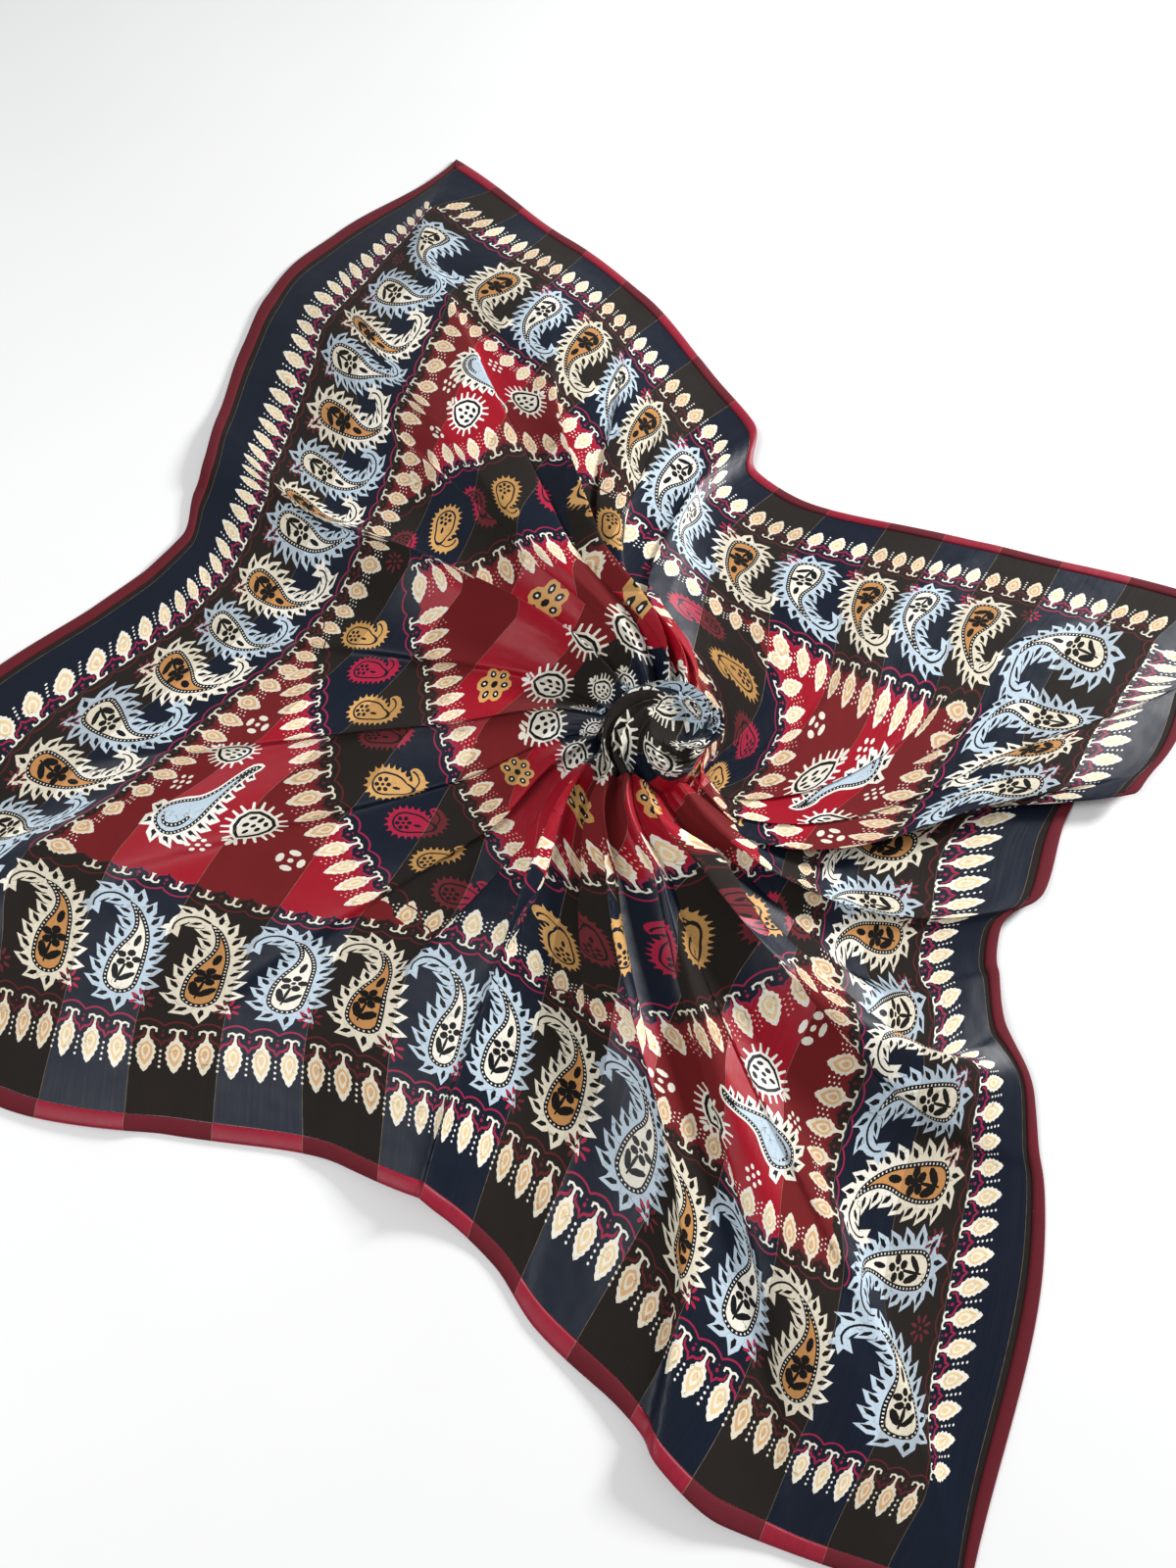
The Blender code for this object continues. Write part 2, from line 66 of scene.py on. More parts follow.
DIAMOND = (
    # u, v in stripes, x, y in centimetres from the twist's foot, lift in millimetres
    (-5.0, 0.0, -21.0, 15.5, 22), (-2.5, -2.5, -17.0, 0.0, 12), (0.0, -5.0, -10.5, -12.5, 10),
    (2.5, -2.5, 0.0, -12.5, 16), (5.0, 0.0, 10.0, -11.0, 12), (2.5, 2.5, 3.5, -2.5, 8),
    (0.0, 5.0, -0.5, 15.5, 18), (-2.5, 2.5, -8.5, 19.0, 36),
)
SIDES = {
    # along in stripes, then x, y and lift at the border and again at the hem
    "far": (
        (-7.0, -21.0, 57.5, 22, -19.5, 73.5, 2), (-5.5, -14.0, 49.5, 28, -7.0, 61.0, 2),
        (-3.5, -5.0, 41.5, 30, 1.0, 52.5, 2), (-1.5, 0.0, 31.5, 24, 7.5, 41.5, 2),
        (-0.5, 3.0, 26.5, 18, 10.5, 35.0, 6), (0.5, 4.5, 22.0, 14, 11.0, 29.5, 3),
        (1.5, 9.0, 18.0, 12, 15.0, 26.5, 2), (3.5, 19.5, 14.0, 12, 25.0, 23.0, 4),
        (5.5, 29.0, 12.0, 8, 35.0, 20.5, 1),
    ),
    "right": (
        (7.0, 35.5, 9.5, 6, 55.5, 13.0, 1), (5.7, 31.0, 3.0, 10, 46.5, 7.0, 4),
        (4.8, 29.5, -1.0, 16, 43.5, 2.0, 10), (3.8, 27.0, -3.0, 20, 39.5, -2.0, 17),
        (1.9, 21.0, -6.0, 3, 36.0, -2.5, 2), (1.0, 16.5, -9.0, 4, 33.0, -6.5, 3),
        (0.0, 16.0, -13.0, 6, 30.5, -11.5, 4), (-1.0, 16.0, -16.5, 4, 26.5, -15.0, 2),
        (-1.9, 17.0, -22.5, 6, 26.0, -18.5, 1), (-2.9, 18.5, -24.5, 5, 26.0, -23.0, 1),
        (-3.8, 17.5, -29.0, 4, 27.0, -27.5, 1), (-5.7, 15.0, -39.5, 3, 26.0, -38.5, 1),
    ),
    "near": (
        (7.0, 15.0, -46.0, 3, 18.0, -58.0, 1), (5.5, 8.5, -43.5, 3, 3.5, -53.5, 1),
        (4.5, 5.0, -39.0, 4, -1.0, -49.5, 1), (3.5, 1.5, -35.5, 4, -4.5, -46.0, 1),
        (2.5, -2.0, -29.5, 4, -8.5, -42.5, 1), (1.5, -7.0, -25.5, 4, -11.5, -38.5, 1),
        (0.5, -11.5, -23.0, 3, -15.0, -35.5, 1), (-0.5, -16.0, -21.5, 4, -17.5, -34.0, 4),
        (-1.5, -22.0, -19.0, 4, -22.5, -32.0, 1), (-3.5, -34.5, -17.5, 2, -35.0, -30.0, 1),
        (-5.5, -47.0, -14.0, 3, -47.5, -28.0, 1),
    ),
    "left": (
        (-7.0, -56.0, -11.5, 3, -63.5, -25.0, 1), (-5.7, -49.5, -6.0, 6, -61.5, 0.5, 1),
        (-3.8, -43.0, 3.0, 9, -48.5, 15.0, 2), (-2.9, -38.5, 7.5, 12, -44.5, 19.0, 2),
        (-1.9, -34.5, 11.5, 14, -42.0, 22.5, 2), (-0.9, -31.5, 16.0, 14, -41.5, 27.5, 3),
        (0.0, -29.5, 21.5, 16, -41.0, 30.5, 5), (1.0, -29.0, 24.0, 18, -40.5, 36.0, 3),
        (2.9, -27.0, 34.5, 22, -39.5, 46.0, 2), (3.8, -26.5, 41.5, 24, -38.0, 52.5, 2),
        (4.8, -25.0, 44.5, 24, -35.5, 57.5, 2), (5.7, -23.0, 51.0, 22, -31.5, 62.0, 2),
    ),
}
FOOT_SPREAD = 1.4  # how much wider in degrees a fold is at the twist's foot than at the hem
FOLDS = (
    # name, bearing in, bearing out, heights from the foot to the hem (mm), half width, leans (mm)
    ("right overlap", 26, 18, (8, 8, 2, 0), 11, (0, 4, 15, 13)),
    ("right ridge", 0, -4, (10, 13, 11, 6), 6, (0, 4, 6, 4)),
    ("long ridge", -40, -21, (22, 30, 28, 7), 7, (0, 11, 11, 3)),
    ("deep pleat", -58, -54, (27, 24, 9, 0), 5.5, (0, 8, 2, 0)),
    ("slim pleat", -77, -71, (29, 27, 12, 5), 5.5, (0, 7, 3, 1)),
    ("notch pleat", -98, -99, (25, 22, 10, 8), 5.5, (0, 6, 2, 1)),
    ("near swell", -122, -122, (18, 11, 4, 0), 8, (0, 3, 0, 0)),
    ("left crease", -147, -147, (18, 14, 9, 2), 6.5, (0, 4, 1, 0)),
    ("pocket", 176, 179, (20, 21, 9, 5), 6.5, (0, 8, 2, 1)),
    ("broad fold", 152, 152, (26, 19, 5, 0), 8, (0, 6, 1, 0)),
    ("far pleat", 129, 127, (28, 21, 5, 0), 5.5, (0, 6, 1, 0)),
    ("thin pleat", 112, 109, (28, 20, 4, 0), 4.5, (0, 5, 1, 0)),
    ("far tip", 98, 97, (25, 16, 9, 6), 5.5, (0, 4, 3, 3)),
    ("upper swell", 72, 72, (13, 8, 4, 4), 7, (0, 1, 0, 0)),
    ("corner swell", 48, 48, (11, 7, 3, 0), 9, (0, 1, 0, 0)),
)
PLEATS = (
    # name, side on top (1: the clockwise one), bearing in, bearing out, heights, cloth tucked, half
    ("right edge", -1, 13, 12, (5, 6, 3, 1), (0, 8, 5, 1), 2.2),
    ("overlap root", -1, 30, 26, (6, 8, 4, 1), (0, 13, 7, 1), 2.2),
    ("overlap back", -1, 42, 38, (6, 8, 4, 1), (0, 15, 8, 1), 2.4),
    ("overlap side", -1, 54, 52, (5, 6, 3, 0), (0, 12, 4, 0), 2.4),
    ("upper right", 1, 68, 68, (4, 4, 2, 1), (0, 3, 1, 0), 2.6),
    ("far needle", 1, 99, 100, (8, 7, 3, 1), (0, 10, 3, 0), 1.8),
    ("far crease", 1, 108, 108, (9, 8, 4, 1), (0, 11, 3, 0), 1.9),
    ("thin side", 1, 118, 117, (9, 8, 4, 1), (0, 11, 2, 0), 1.9),
    ("far side", -1, 129, 127, (8, 8, 3, 0), (0, 11, 1, 0), 2.0),
    ("broad side", -1, 141, 140, (7, 7, 3, 1), (0, 9, 1, 0), 2.2),
    ("upper pocket", -1, 158, 160, (7, 8, 3, 1), (0, 8, 3, 2), 2.4),
    ("pocket lip", -1, 172, 175, (8, 9, 3, 1), (0, 6, 1, 0), 2.4),
    ("left edge", 1, -166, -164, (6, 5, 3, 1), (0, 5, 0, 0), 2.6),
    ("left wave", 1, -148, -148, (6, 6, 4, 2), (0, 5, 0, 0), 2.4),
    ("left back", 1, -133, -134, (6, 5, 4, 3), (0, 5, 1, 1), 2.2),
    ("near wave", 1, -118, -117, (7, 6, 5, 4), (0, 8, 2, 1), 2.2),
    ("notch back", -1, -108, -107, (7, 7, 3, 2), (0, 10, 2, 0), 2.0),
    ("notch side", -1, -97, -97, (8, 8, 6, 7), (0, 12, 3, 3), 2.0),
    ("split pleat", -1, -86, -83, (9, 8, 3, 1), (0, 9, 1, 0), 2.0),
    ("near tip", -1, -74, -70, (8, 7, 7, 9), (0, 8, 4, 4), 2.0),
    ("dark pleat", -1, -63, -60, (9, 8, 4, 0), (0, 9, 3, 0), 2.0),
    ("deep side", -1, -52, -49, (8, 8, 3, 0), (0, 9, 0, 0), 2.0),
    ("ridge back", -1, -41, -30, (7, 8, 5, 1), (0, 12, 8, 2), 2.0),
    ("near right", -1, -30, -20, (6, 7, 5, 3), (0, 12, 7, 2), 2.0),
    ("right hollow", -1, -19, -13, (5, 6, 4, 2), (0, 12, 6, 3), 2.0),
    ("right line", -1, -6, -4, (5, 6, 4, 2), (0, 9, 5, 1), 2.0),
)


def side_places(side, along, edge):
    """A point on a side of a square about the cloth's middle, as u and v."""
    if side in ("far", "near"):
        return along, edge if side == "far" else -edge
    return (edge if side == "right" else -edge), along


def side_rows(edge, first):
    """The rows of the border or of the hem as u, v, x, y, lift, from the column where they start."""
    rows = []
    for side, places in SIDES.items():
        for along, *values in places:
            if abs(along) == BORDER_AT:
                along = math.copysign(edge, along)
            rows.append((*side_places(side, along, edge), *values[first:first + 3]))
    return rows


def slopes(steps, rises):
    """Slopes of a smooth curve that never overshoots its rows."""
    before, after = rises[..., :-1], rises[..., 1:]
    weight_a = 2 * steps[..., 1:] + steps[..., :-1]
    weight_b = steps[..., 1:] + 2 * steps[..., :-1]
    same = before * after > 0
    safe_before = np.where(same, before, 1)
    safe_after = np.where(same, after, 1)
    mean = (weight_a + weight_b) / (weight_a / safe_before + weight_b / safe_after)
    inner = np.where(same, mean, 0)
    return np.concatenate([rises[..., :1], inner, rises[..., -1:]], axis=-1)


def hermite(t, step, start, end, slope_start, slope_end):
    """The cubic between two rows, a step apart."""
    u = 1 - t
    return (
        (1 + 2 * t) * u * u * start
        + t * u * u * step * slope_start
        + t * t * (3 - 2 * t) * end
        - t * t * u * step * slope_end
    )


def around(bearing, knots, values):
    """A closed smooth curve through values at knots, read at each bearing."""
    steps = np.diff(knots)
    slope = slopes(steps, np.diff(values) / steps)
    row = np.clip(np.searchsorted(knots, bearing) - 1, 0, len(steps) - 1)
    t = (bearing - knots[row]) / steps[row]
    return hermite(t, steps[row], values[row], values[row + 1], slope[row], slope[row + 1])


def outwards(flat, stations, values):
    """A smooth curve through each ray's four stations, read at its flat distance."""
    steps = np.diff(stations, axis=1)
    slope = slopes(steps, np.diff(values, axis=1) / steps)
    row = (flat[:, None] > stations[:, 1:-1]).sum(axis=1)
    ray = np.arange(len(flat))
    step = steps[ray, row]
    t = (flat - stations[ray, row]) / step
    return hermite(
        t, step, values[ray, row], values[ray, row + 1], slope[ray, row], slope[ray, row + 1]
    )


def turned(angle):
    """An angle brought to between minus pi and pi."""
    return (angle + math.pi) % (2 * math.pi) - math.pi


class Section:
    """A closed line of the flat square, and where it lies."""

    def __init__(self, rows, edge, is_square):
        table = np.array(sorted(rows, key=self.bearing_of), float)
        out = table[:, :2] * STRIPE - GRABBED
        bearing = np.arctan2(out[:, 1], out[:, 0])
        place = table[:, 2:4] / 100
        draw_in = np.hypot(*place.T) / np.hypot(*out.T)
        swing = turned(np.arctan2(place[:, 1], place[:, 0]) - bearing)
        swing = np.where(swing > math.pi / 2, swing - 2 * math.pi, swing)
        lap = 2 * math.pi
        self.knots = np.concatenate([bearing[-4:] - lap, bearing, bearing[:4] + lap])
        self.curves = [
            np.concatenate([values[-4:], values, values[:4]])
            for values in (draw_in, swing, table[:, 4] / 1000)
        ]
        self.edge = edge * STRIPE
        self.is_square = is_square

    @staticmethod
    def bearing_of(row):
        return math.atan2(row[1] * STRIPE - GRABBED[1], row[0] * STRIPE - GRABBED[0])

    def read(self, bearing):
        """Flat distance, reach on the table, swing and lift at each bearing."""
        bearing = turned(bearing)
        flat = line_distance(bearing, self.edge, self.is_square)
        draw_in, swing, lift = (around(bearing, self.knots, values) for values in self.curves)
        return flat, flat * draw_in, swing, lift


def line_distance(bearing, edge, is_square):
    """Distance from the grabbed place to a square, or a diamond, about the cloth's middle."""
    east, north = np.cos(bearing), np.sin(bearing)
    if is_square:
        normals = ((1, 0), (-1, 0), (0, 1), (0, -1))
    else:
        normals = ((1, 1), (1, -1), (-1, 1), (-1, -1))
    nearest = np.full(np.shape(bearing), np.inf)
    for a, b in normals:
        towards = a * east + b * north
        left = edge - a * GRABBED[0] - b * GRABBED[1]
        distance = np.where(towards > 1e-6, left / np.maximum(towards, 1e-6), np.inf)
        nearest = np.minimum(nearest, distance)
    return nearest


SECTIONS = (
    Section(DIAMOND, DIAMOND_AT, False),
    Section(side_rows(BORDER_AT, 0), BORDER_AT, True),
    Section(side_rows(HEM_AT, 3), HEM_AT, True),
)


def lay(bearing, flat):
    """Where points of the cloth lie: x, y and height of its upper face, from the twist's foot."""
    same = np.ones(np.shape(bearing))
    foot = (FOOT_FLAT * same, FOOT_REACH * same, FOOT_SWING * same, FOOT_LIFT * same)
    lines = zip(foot, *(section.read(bearing) for section in SECTIONS))
    stations, *rows = (np.stack(line, axis=1) for line in lines)
    reach, swing, lift = (outwards(flat, stations, values) for values in rows)
    angle = bearing + swing
    along = np.clip((flat - FOOT_FLAT) / (stations[:, 3] - FOOT_FLAT), 0, 1)

    def across_fold(bearing_in, bearing_out, half):
        """How many half widths each point is from a fold's crest."""
        middle = np.radians(bearing_in + (bearing_out - bearing_in) * along)
        width = np.radians(half) * (FOOT_SPREAD + (1 - FOOT_SPREAD) * along)
        return turned(bearing - middle) / width

    def read_out(millimetres):
        """A fold's own measure at each point, in metres."""
        return outwards(flat, stations, np.outer(same, millimetres)) / 1000

    sideways = np.zeros(np.shape(bearing))
    for _, bearing_in, bearing_out, heights, half, leans in FOLDS:
        across = across_fold(bearing_in, bearing_out, half)
        lift = lift + read_out(heights) * np.exp(-(across**2))
        sideways = sideways - read_out(leans) * 2 * across * np.exp(0.5 - 2 * across**2)
    for _, side, bearing_in, bearing_out, heights, tucked, half in PLEATS:
        across = np.clip(side * across_fold(bearing_in, bearing_out, half), -8, 8)
        slope, cliff = np.exp(-(np.minimum(across, 0) / 3) ** 2), 1 + np.exp(6 * across)
        lift = lift + read_out(heights) * slope / cliff
        pull = side * read_out(tucked) * np.tanh(2.4 * across)
        sideways = sideways - pull * np.exp(-(across / 2.6) ** 2)
    x = reach * np.cos(angle) - sideways * np.sin(angle)
    y = reach * np.sin(angle) + sideways * np.cos(angle)
    return np.stack([x, y, WALL + np.maximum(lift - TOUCH, 0)], axis=1)


ROLLS = (
    # bearing of a roll's crest, half width in degrees, how far it stands out as a share of the reach
    (168, 31, 0.42),
    (116, 24, 0.50),
    (70, 25, 0.34),
    (22, 26, 0.46),
    (-30, 27, 0.34),
    (-82, 27, 0.48),
    (-132, 26, 0.36),
)
ROLL_DEPTH = 0.026
ROLL_MEAN = 0.30  # about what the rolls stand out on average
FOOT_READINGS = 720


def roll_height(bearing):
    """How far the rolls of the twist stand out past its mean form, with sharp valleys between."""
    height = np.zeros(np.shape(bearing))
    for crest, half, out in ROLLS:
        across = np.abs(turned(bearing - math.radians(crest))) / math.radians(half)
        height = np.maximum(height, out * np.sqrt(np.clip(1 - across**2, 0, 1)))
    return height - ROLL_MEAN


def wind(bearing, flat):
    """Where points of the cloth lie that are wound into the twist."""
    foot = lay(bearing, np.full(len(bearing), FOOT_FLAT))
    bearings = np.linspace(-math.pi, math.pi, FOOT_READINGS + 1)[:-1]
    around_foot = lay(bearings, np.full(FOOT_READINGS, FOOT_FLAT))[:, 2]
    share = np.clip(1 - flat / FOOT_FLAT, 0, 1)
    reach = np.hypot(foot[:, 0], foot[:, 1])
    angle = np.arctan2(foot[:, 1], foot[:, 0]) + TWIST_TURN * share
    ridge = (foot[:, 2] - around_foot.mean()) / np.ptp(around_foot)
    stands_out = 1 + TWIST_RIDGE * ridge * np.sin(math.pi * share) ** 2
    rolls = roll_height(bearing) * np.sin(math.pi * np.minimum(share * 1.15, 1)) ** 1.2
    narrow = (1 - share) ** TWIST_ROUND * (stands_out + rolls)
    sink = TWIST_DIMPLE * np.maximum(0, share - DIMPLE_FROM) / (1 - DIMPLE_FROM)
    x = reach * narrow * np.cos(angle) + TWIST_LEAN[0] * share
    y = reach * narrow * np.sin(angle) + TWIST_LEAN[1] * share
    rise = (TWIST_TOP - foot[:, 2]) * np.sin(share * math.pi / 2)
    return np.stack([x, y, foot[:, 2] + rise - sink + ROLL_DEPTH * rolls], axis=1)


def place_cloth(points):
    """Where points of the flat square (metres from its middle) lie, from the twist's foot."""
    out = points - np.array(GRABBED)
    bearing = np.arctan2(out[:, 1], out[:, 0])
    flat = np.hypot(out[:, 0], out[:, 1])
    placed = lay(bearing, np.maximum(flat, FOOT_FLAT))
    wound = flat < FOOT_FLAT
    if wound.any():
        placed[wound] = wind(bearing[wound], flat[wound])
    return placed


MIDDLE = np.array([-0.04, 0.0775, 0.0])  # the frame's origin, from the twist's foot


# ---- The print: outlines in millimetres, each with its ink, later ones on top ----
P = STRIPE * 1000  # one stripe, in millimetres

INKS = (
    # name, on satin, on matte, crackle
    ("ground", "0D1626", "211B17", 0),
    ("red", "9E0C22", "6E191C", 0),
    ("burgundy", "9C2145", "571E21", 0),
    ("crimson", "AC2040", "66252B", 0),
    ("cream", "F4EEDF", "DCD3BE", 1),
    ("blue", "C0D1DE", "AEBBC5", 1),
    ("tan", "EFD3A0", "D2A878", 1),
    ("brown", "CE9258", "BC8650", 0),
    ("gold", "D8A664", "B98C52", 0.5),
    ("black", "0B0D12", "120F0D", 0),
    ("pink", "EDB4AC", "CE9488", 0),
    ("white", "F8F5EC", "E4DECF", 0.6),
)
INK_NUMBER = {row[0]: number for number, row in enumerate(INKS)}


def spun(points, turn):
    """Points turned about the origin, in degrees."""
    c, s = math.cos(math.radians(turn)), math.sin(math.radians(turn))
    return np.asarray(points, float) @ np.array([[c, s], [-s, c]])


def ellipse(x, y, wide, high, turn=0.0, points=8):
    angle = np.arange(points) * 2 * math.pi / points
    return spun(np.stack([wide * np.cos(angle), high * np.sin(angle)], axis=1), turn) + (x, y)


def inked(ink, *outlines):
    """Outlines of one ink."""
    return [(outline, ink) for outline in outlines]


def moved(shapes, x=0.0, y=0.0, turn=0.0, size=1.0):
    """Shapes put somewhere else."""
    return [(spun(np.asarray(outline) * size, turn) + (x, y), ink) for outline, ink in shapes]


def widened(shapes, wide, high):
    """Shapes made wider and higher."""
    return [(np.asarray(outline) * (wide, high), ink) for outline, ink in shapes]


def fanned(shapes, reach, bearing, spread):
    """Upright shapes put at a reach and a bearing from the middle, their tops outwards."""
    placed = []
    for outline, ink in shapes:
        points = np.asarray(outline, float)
        away = reach + points[:, 1]
        angle = math.radians(bearing) - points[:, 0] * spread / reach
        placed.append((np.stack([away * np.cos(angle), away * np.sin(angle)], axis=1), ink))
    return placed


def smooth_line(knots, count):
    """An even run of points on a smooth curve through the knots."""
    knots = np.asarray(knots, float)
    padded = np.concatenate([[2 * knots[0] - knots[1]], knots, [2 * knots[-1] - knots[-2]]])
    fine = np.linspace(0, 1, 12, endpoint=False)[:, None]
    runs = []
    for a, b, c, d in zip(padded[:-3], padded[1:-2], padded[2:-1], padded[3:]):
        square, cube = 2 * a - 5 * b + 4 * c - d, 3 * b - a - 3 * c + d
        runs.append(0.5 * (2 * b + (c - a) * fine + square * fine**2 + cube * fine**3))
    return evenly(np.concatenate([*runs, knots[-1:]]), count)


def evenly(line, count):
    """The same line with this many points, evenly spaced."""
    length = run_of(line)
    wanted = np.linspace(0, length[-1], count)
    return np.stack([np.interp(wanted, length, column) for column in line.T], axis=1)


def run_of(line):
    """How far along a line each of its points is."""
    return np.concatenate([[0], np.cumsum(np.hypot(*np.diff(line[:, :2], axis=0).T))])


def sides_of(line):
    """The unit vector to the left of a line, at each point."""
    along = np.gradient(np.asarray(line, float), axis=0)
    along /= np.hypot(*along.T)[:, None]
    return np.stack([-along[:, 1], along[:, 0]], axis=1)


def stroke(line, widths):
    """The outline of a drawn line, with one width or one for each point."""
    line = np.asarray(line, float)
    half = np.broadcast_to(np.asarray(widths, float), len(line))[:, None] / 2
    left = sides_of(line)
    return np.concatenate([line + left * half, (line - left * half)[::-1]])


LEAF_LAYERS = (
    # half width, low, high, lobes, ink
    (6.4, 8.6, 34.2, 5, "cream"),
    (4.7, 11.4, 29.6, 0, "tan"),
    (3.0, 13.6, 25.8, 0, "cream"),
    (1.8, 15.4, 22.6, 0, "tan"),
)


def border_leaf():
    """A scalloped leaf on an anchor foot. The foot stands on the border line, the tip points up."""
    foot = [(-5.3, 4.0), (-5.2, 1.5), (-2.7, 0.6), (0, 2.0), (2.7, 0.6), (5.2, 1.5), (5.3, 4.0)]
    stem = [(0, 1.6), (0, 6.5), (0, 11.0)]
    foot_widths = (1.3, 1.7, 1.5, 2.2, 1.5, 1.7, 1.3)
    shapes = inked("cream", stroke(foot, foot_widths), stroke(stem, (1.9, 1.8, 5.0)))
    for half, low, high, lobes, ink in LEAF_LAYERS:
        steps = 2 * lobes + 1 if lobes else 5
        t = np.linspace(0, 1, steps + 2)[1:-1]
        wide = half * np.sin(math.pi * t**0.76) ** 0.72
        if lobes:
            wide = wide * (1 + np.where(np.arange(steps) % 2 == 0, 0.10, -0.10))
        right = np.stack([wide, low + (high - low) * t], axis=1)
        left = right[::-1] * (-1, 1)
        shapes += inked(ink, np.concatenate([[(0, low)], right, [(0, high)], left]))
    return shapes


def gap_mark():
    """What is drawn between two feet: a burgundy crown with two beads in it."""
    half = [(2.0, 10.2), (4.4, 9.6), (7.0, 7.6), (7.5, 4.0)]
    crown = [(-x, y) for x, y in half[::-1]] + [(0, 13.6)] + half
    line = stroke(crown, (0.9, 1.7, 2.0, 1.8, 2.6, 1.8, 2.0, 1.7, 0.9))
    return inked("burgundy", line, ellipse(0, 6.0, 1.3, 1.5, 0, 6), ellipse(0, 2.5, 0.8, 0.8, 0, 5))


def gap_dots(ink, columns, rows, size):
    """Columns of dots between two leaves."""
    return inked(ink, *(
        ellipse(3.2 * (column - (columns - 1) / 2), 18.0 + 3.9 * row + 1.9 * (column % 2), size, size, 45, 5)
        for column in range(columns) for row in range(rows)
    ))


def leaf_places(start, end):
    """A line given in stripes: its start in millimetres, its direction, its leaves and their step."""
    start, end = np.array(start) * P, np.array(end) * P
    length = np.hypot(*(end - start))
    count = round(length / (PITCH * P))
    return start, (end - start) / length, count, length / count


def leaf_row(start, end, dots, skips):
    """Leaves along a line from start to end, in stripes, with their tips to the left of it."""
    start, along, count, step = leaf_places(start, end)
    turn = math.degrees(math.atan2(along[1], along[0]))
    t = np.linspace(-0.5, 0.5, 9)
    arc = stroke(np.stack([t * step, -1.4 - 4.0 * np.cos(math.pi * t) ** 0.8], axis=1), 1.4)
    leaves = range(skips[0], count - skips[1])
    shapes = []
    for figure, places in (
        (inked("burgundy", arc), [number + 0.5 for number in range(count)]),
        (gap_mark() + gap_dots(*dots), leaves[1:]),
        (border_leaf(), [number + 0.5 for number in leaves]),
    ):
        for place in places:
            shapes += moved(figure, *(start + along * step * place), turn)
    return shapes


def drop_outline(spine, grow, count, stop=1.0):
    """The outline of a drop bent along a spine of x, y and half width.

    It runs from the tail's end down the left side, round the bulb and up the right.
    """
    line = smooth_line(spine, 61)[: max(2, round(stop * 60)) + 1]
    fade = np.linspace(0, 1, len(line))
    taper = np.sqrt(np.clip(1 - ((fade - 0.86) / 0.14) ** 2, 0, 1))
    half = np.maximum(line[:, 2] + grow, 0.05) * np.where(fade > 0.86, taper, 1)
    left = sides_of(line[:, :2])
    right_side = line[:, :2] - left * half[:, None]
    left_side = line[:, :2] + left * half[:, None]
    back = math.atan2(*(line[0, :2] - line[1, :2])[::-1])
    cap_angle = back + np.linspace(-math.pi / 2, math.pi / 2, 16)[1:-1][::-1]
    cap = line[0, :2] + half[0] * np.stack([np.cos(cap_angle), np.sin(cap_angle)], axis=1)
    return evenly(np.concatenate([right_side[::-1], cap, left_side]), count)[::-1]


def ring(count, turn, reach, wide, high, points, x=0.0, y=0.0):
    """Ellipses about a place, each with its width pointing away from it."""
    angles = [turn + 360 * number / count for number in range(count)]
    return [ellipse(*(spun([(reach, 0)], angle)[0] + (x, y)), wide, high, angle, points) for angle in angles]


def along_outline(outline, place):
    """A point on an outline, its direction there and the way out of the drop."""
    length = run_of(outline)
    before, point, after = (
        np.array([np.interp(place + step, length, column) for column in outline.T])
        for step in (-1.5, 0, 1.5)
    )
    along = (after - before) / max(np.hypot(*(after - before)), 1e-6)
    return point, along, np.array([along[1], -along[0]])


def tooth(outline, place, *corners):
    """A small polygon on an outline, its corners given along it and out of it."""
    point, along, out = along_outline(outline, place)
    return [point + along * a + out * b for a, b in corners]


BLADES = 21
BLADE_LENGTH = 7.6
BLADES_FROM, BLADES_TO = 0.05, 0.93  # shares of the drop's outline


def blades(outline, flame):
    """Leaf blades that stand on a drop's outline and lean to its tail, each with a dark comma."""
    total = run_of(outline)[-1]
    wide = total * (BLADES_TO - BLADES_FROM) / BLADES * 0.56
    shapes, marks = [], []
    for number in range(BLADES):
        share = BLADES_FROM + (BLADES_TO - BLADES_FROM) * (number + 0.5) / BLADES
        point, along, out = along_outline(outline, share * total)
        lean = -along if share < 0.5 else along
        bottom = math.exp(-(((share - 0.5) / 0.07) ** 2))
        size = min(1.0, 0.62 + 2.2 * min(share, 1 - share)) * (1 + 0.35 * bottom)
        rise, drift = out * BLADE_LENGTH, lean * BLADE_LENGTH
        shapes += inked(flame, [
            point - lean * wide - out,
            point - lean * wide * 0.62 + rise * 0.46 * size,
            point + rise * size + drift * 0.7 * (1 - bottom),
            point + lean * wide * 0.72 + rise * 0.34 * size,
            point + lean * wide - out,
        ])
        heel = point - out * 1.2 - lean * 1.4 * (1 - bottom)
        head = point + rise * 0.60 * size + drift * 0.50 * (1 - bottom)
        middle = heel * 0.55 + head * 0.45
        run = head - heel
        across = np.array([-run[1], run[0]]) / np.hypot(*run) * 1.7 * min(size, 1.0)
        comma = [heel - across * 0.5, heel + across * 0.5, middle + across, head, middle - across]
        marks += inked("black", comma)
    return shapes + marks


def beads(outline, spacing=2.9, size=0.72):
    """White dots strung along an outline."""
    length = run_of(outline)
    places = np.arange(spacing / 2, length[-1], spacing)
    middles = np.stack([np.interp(places, length, column) for column in outline[:, :2].T], axis=1)
    return inked("white", *(ellipse(x, y, size, size, 45, 4) for x, y in middles))


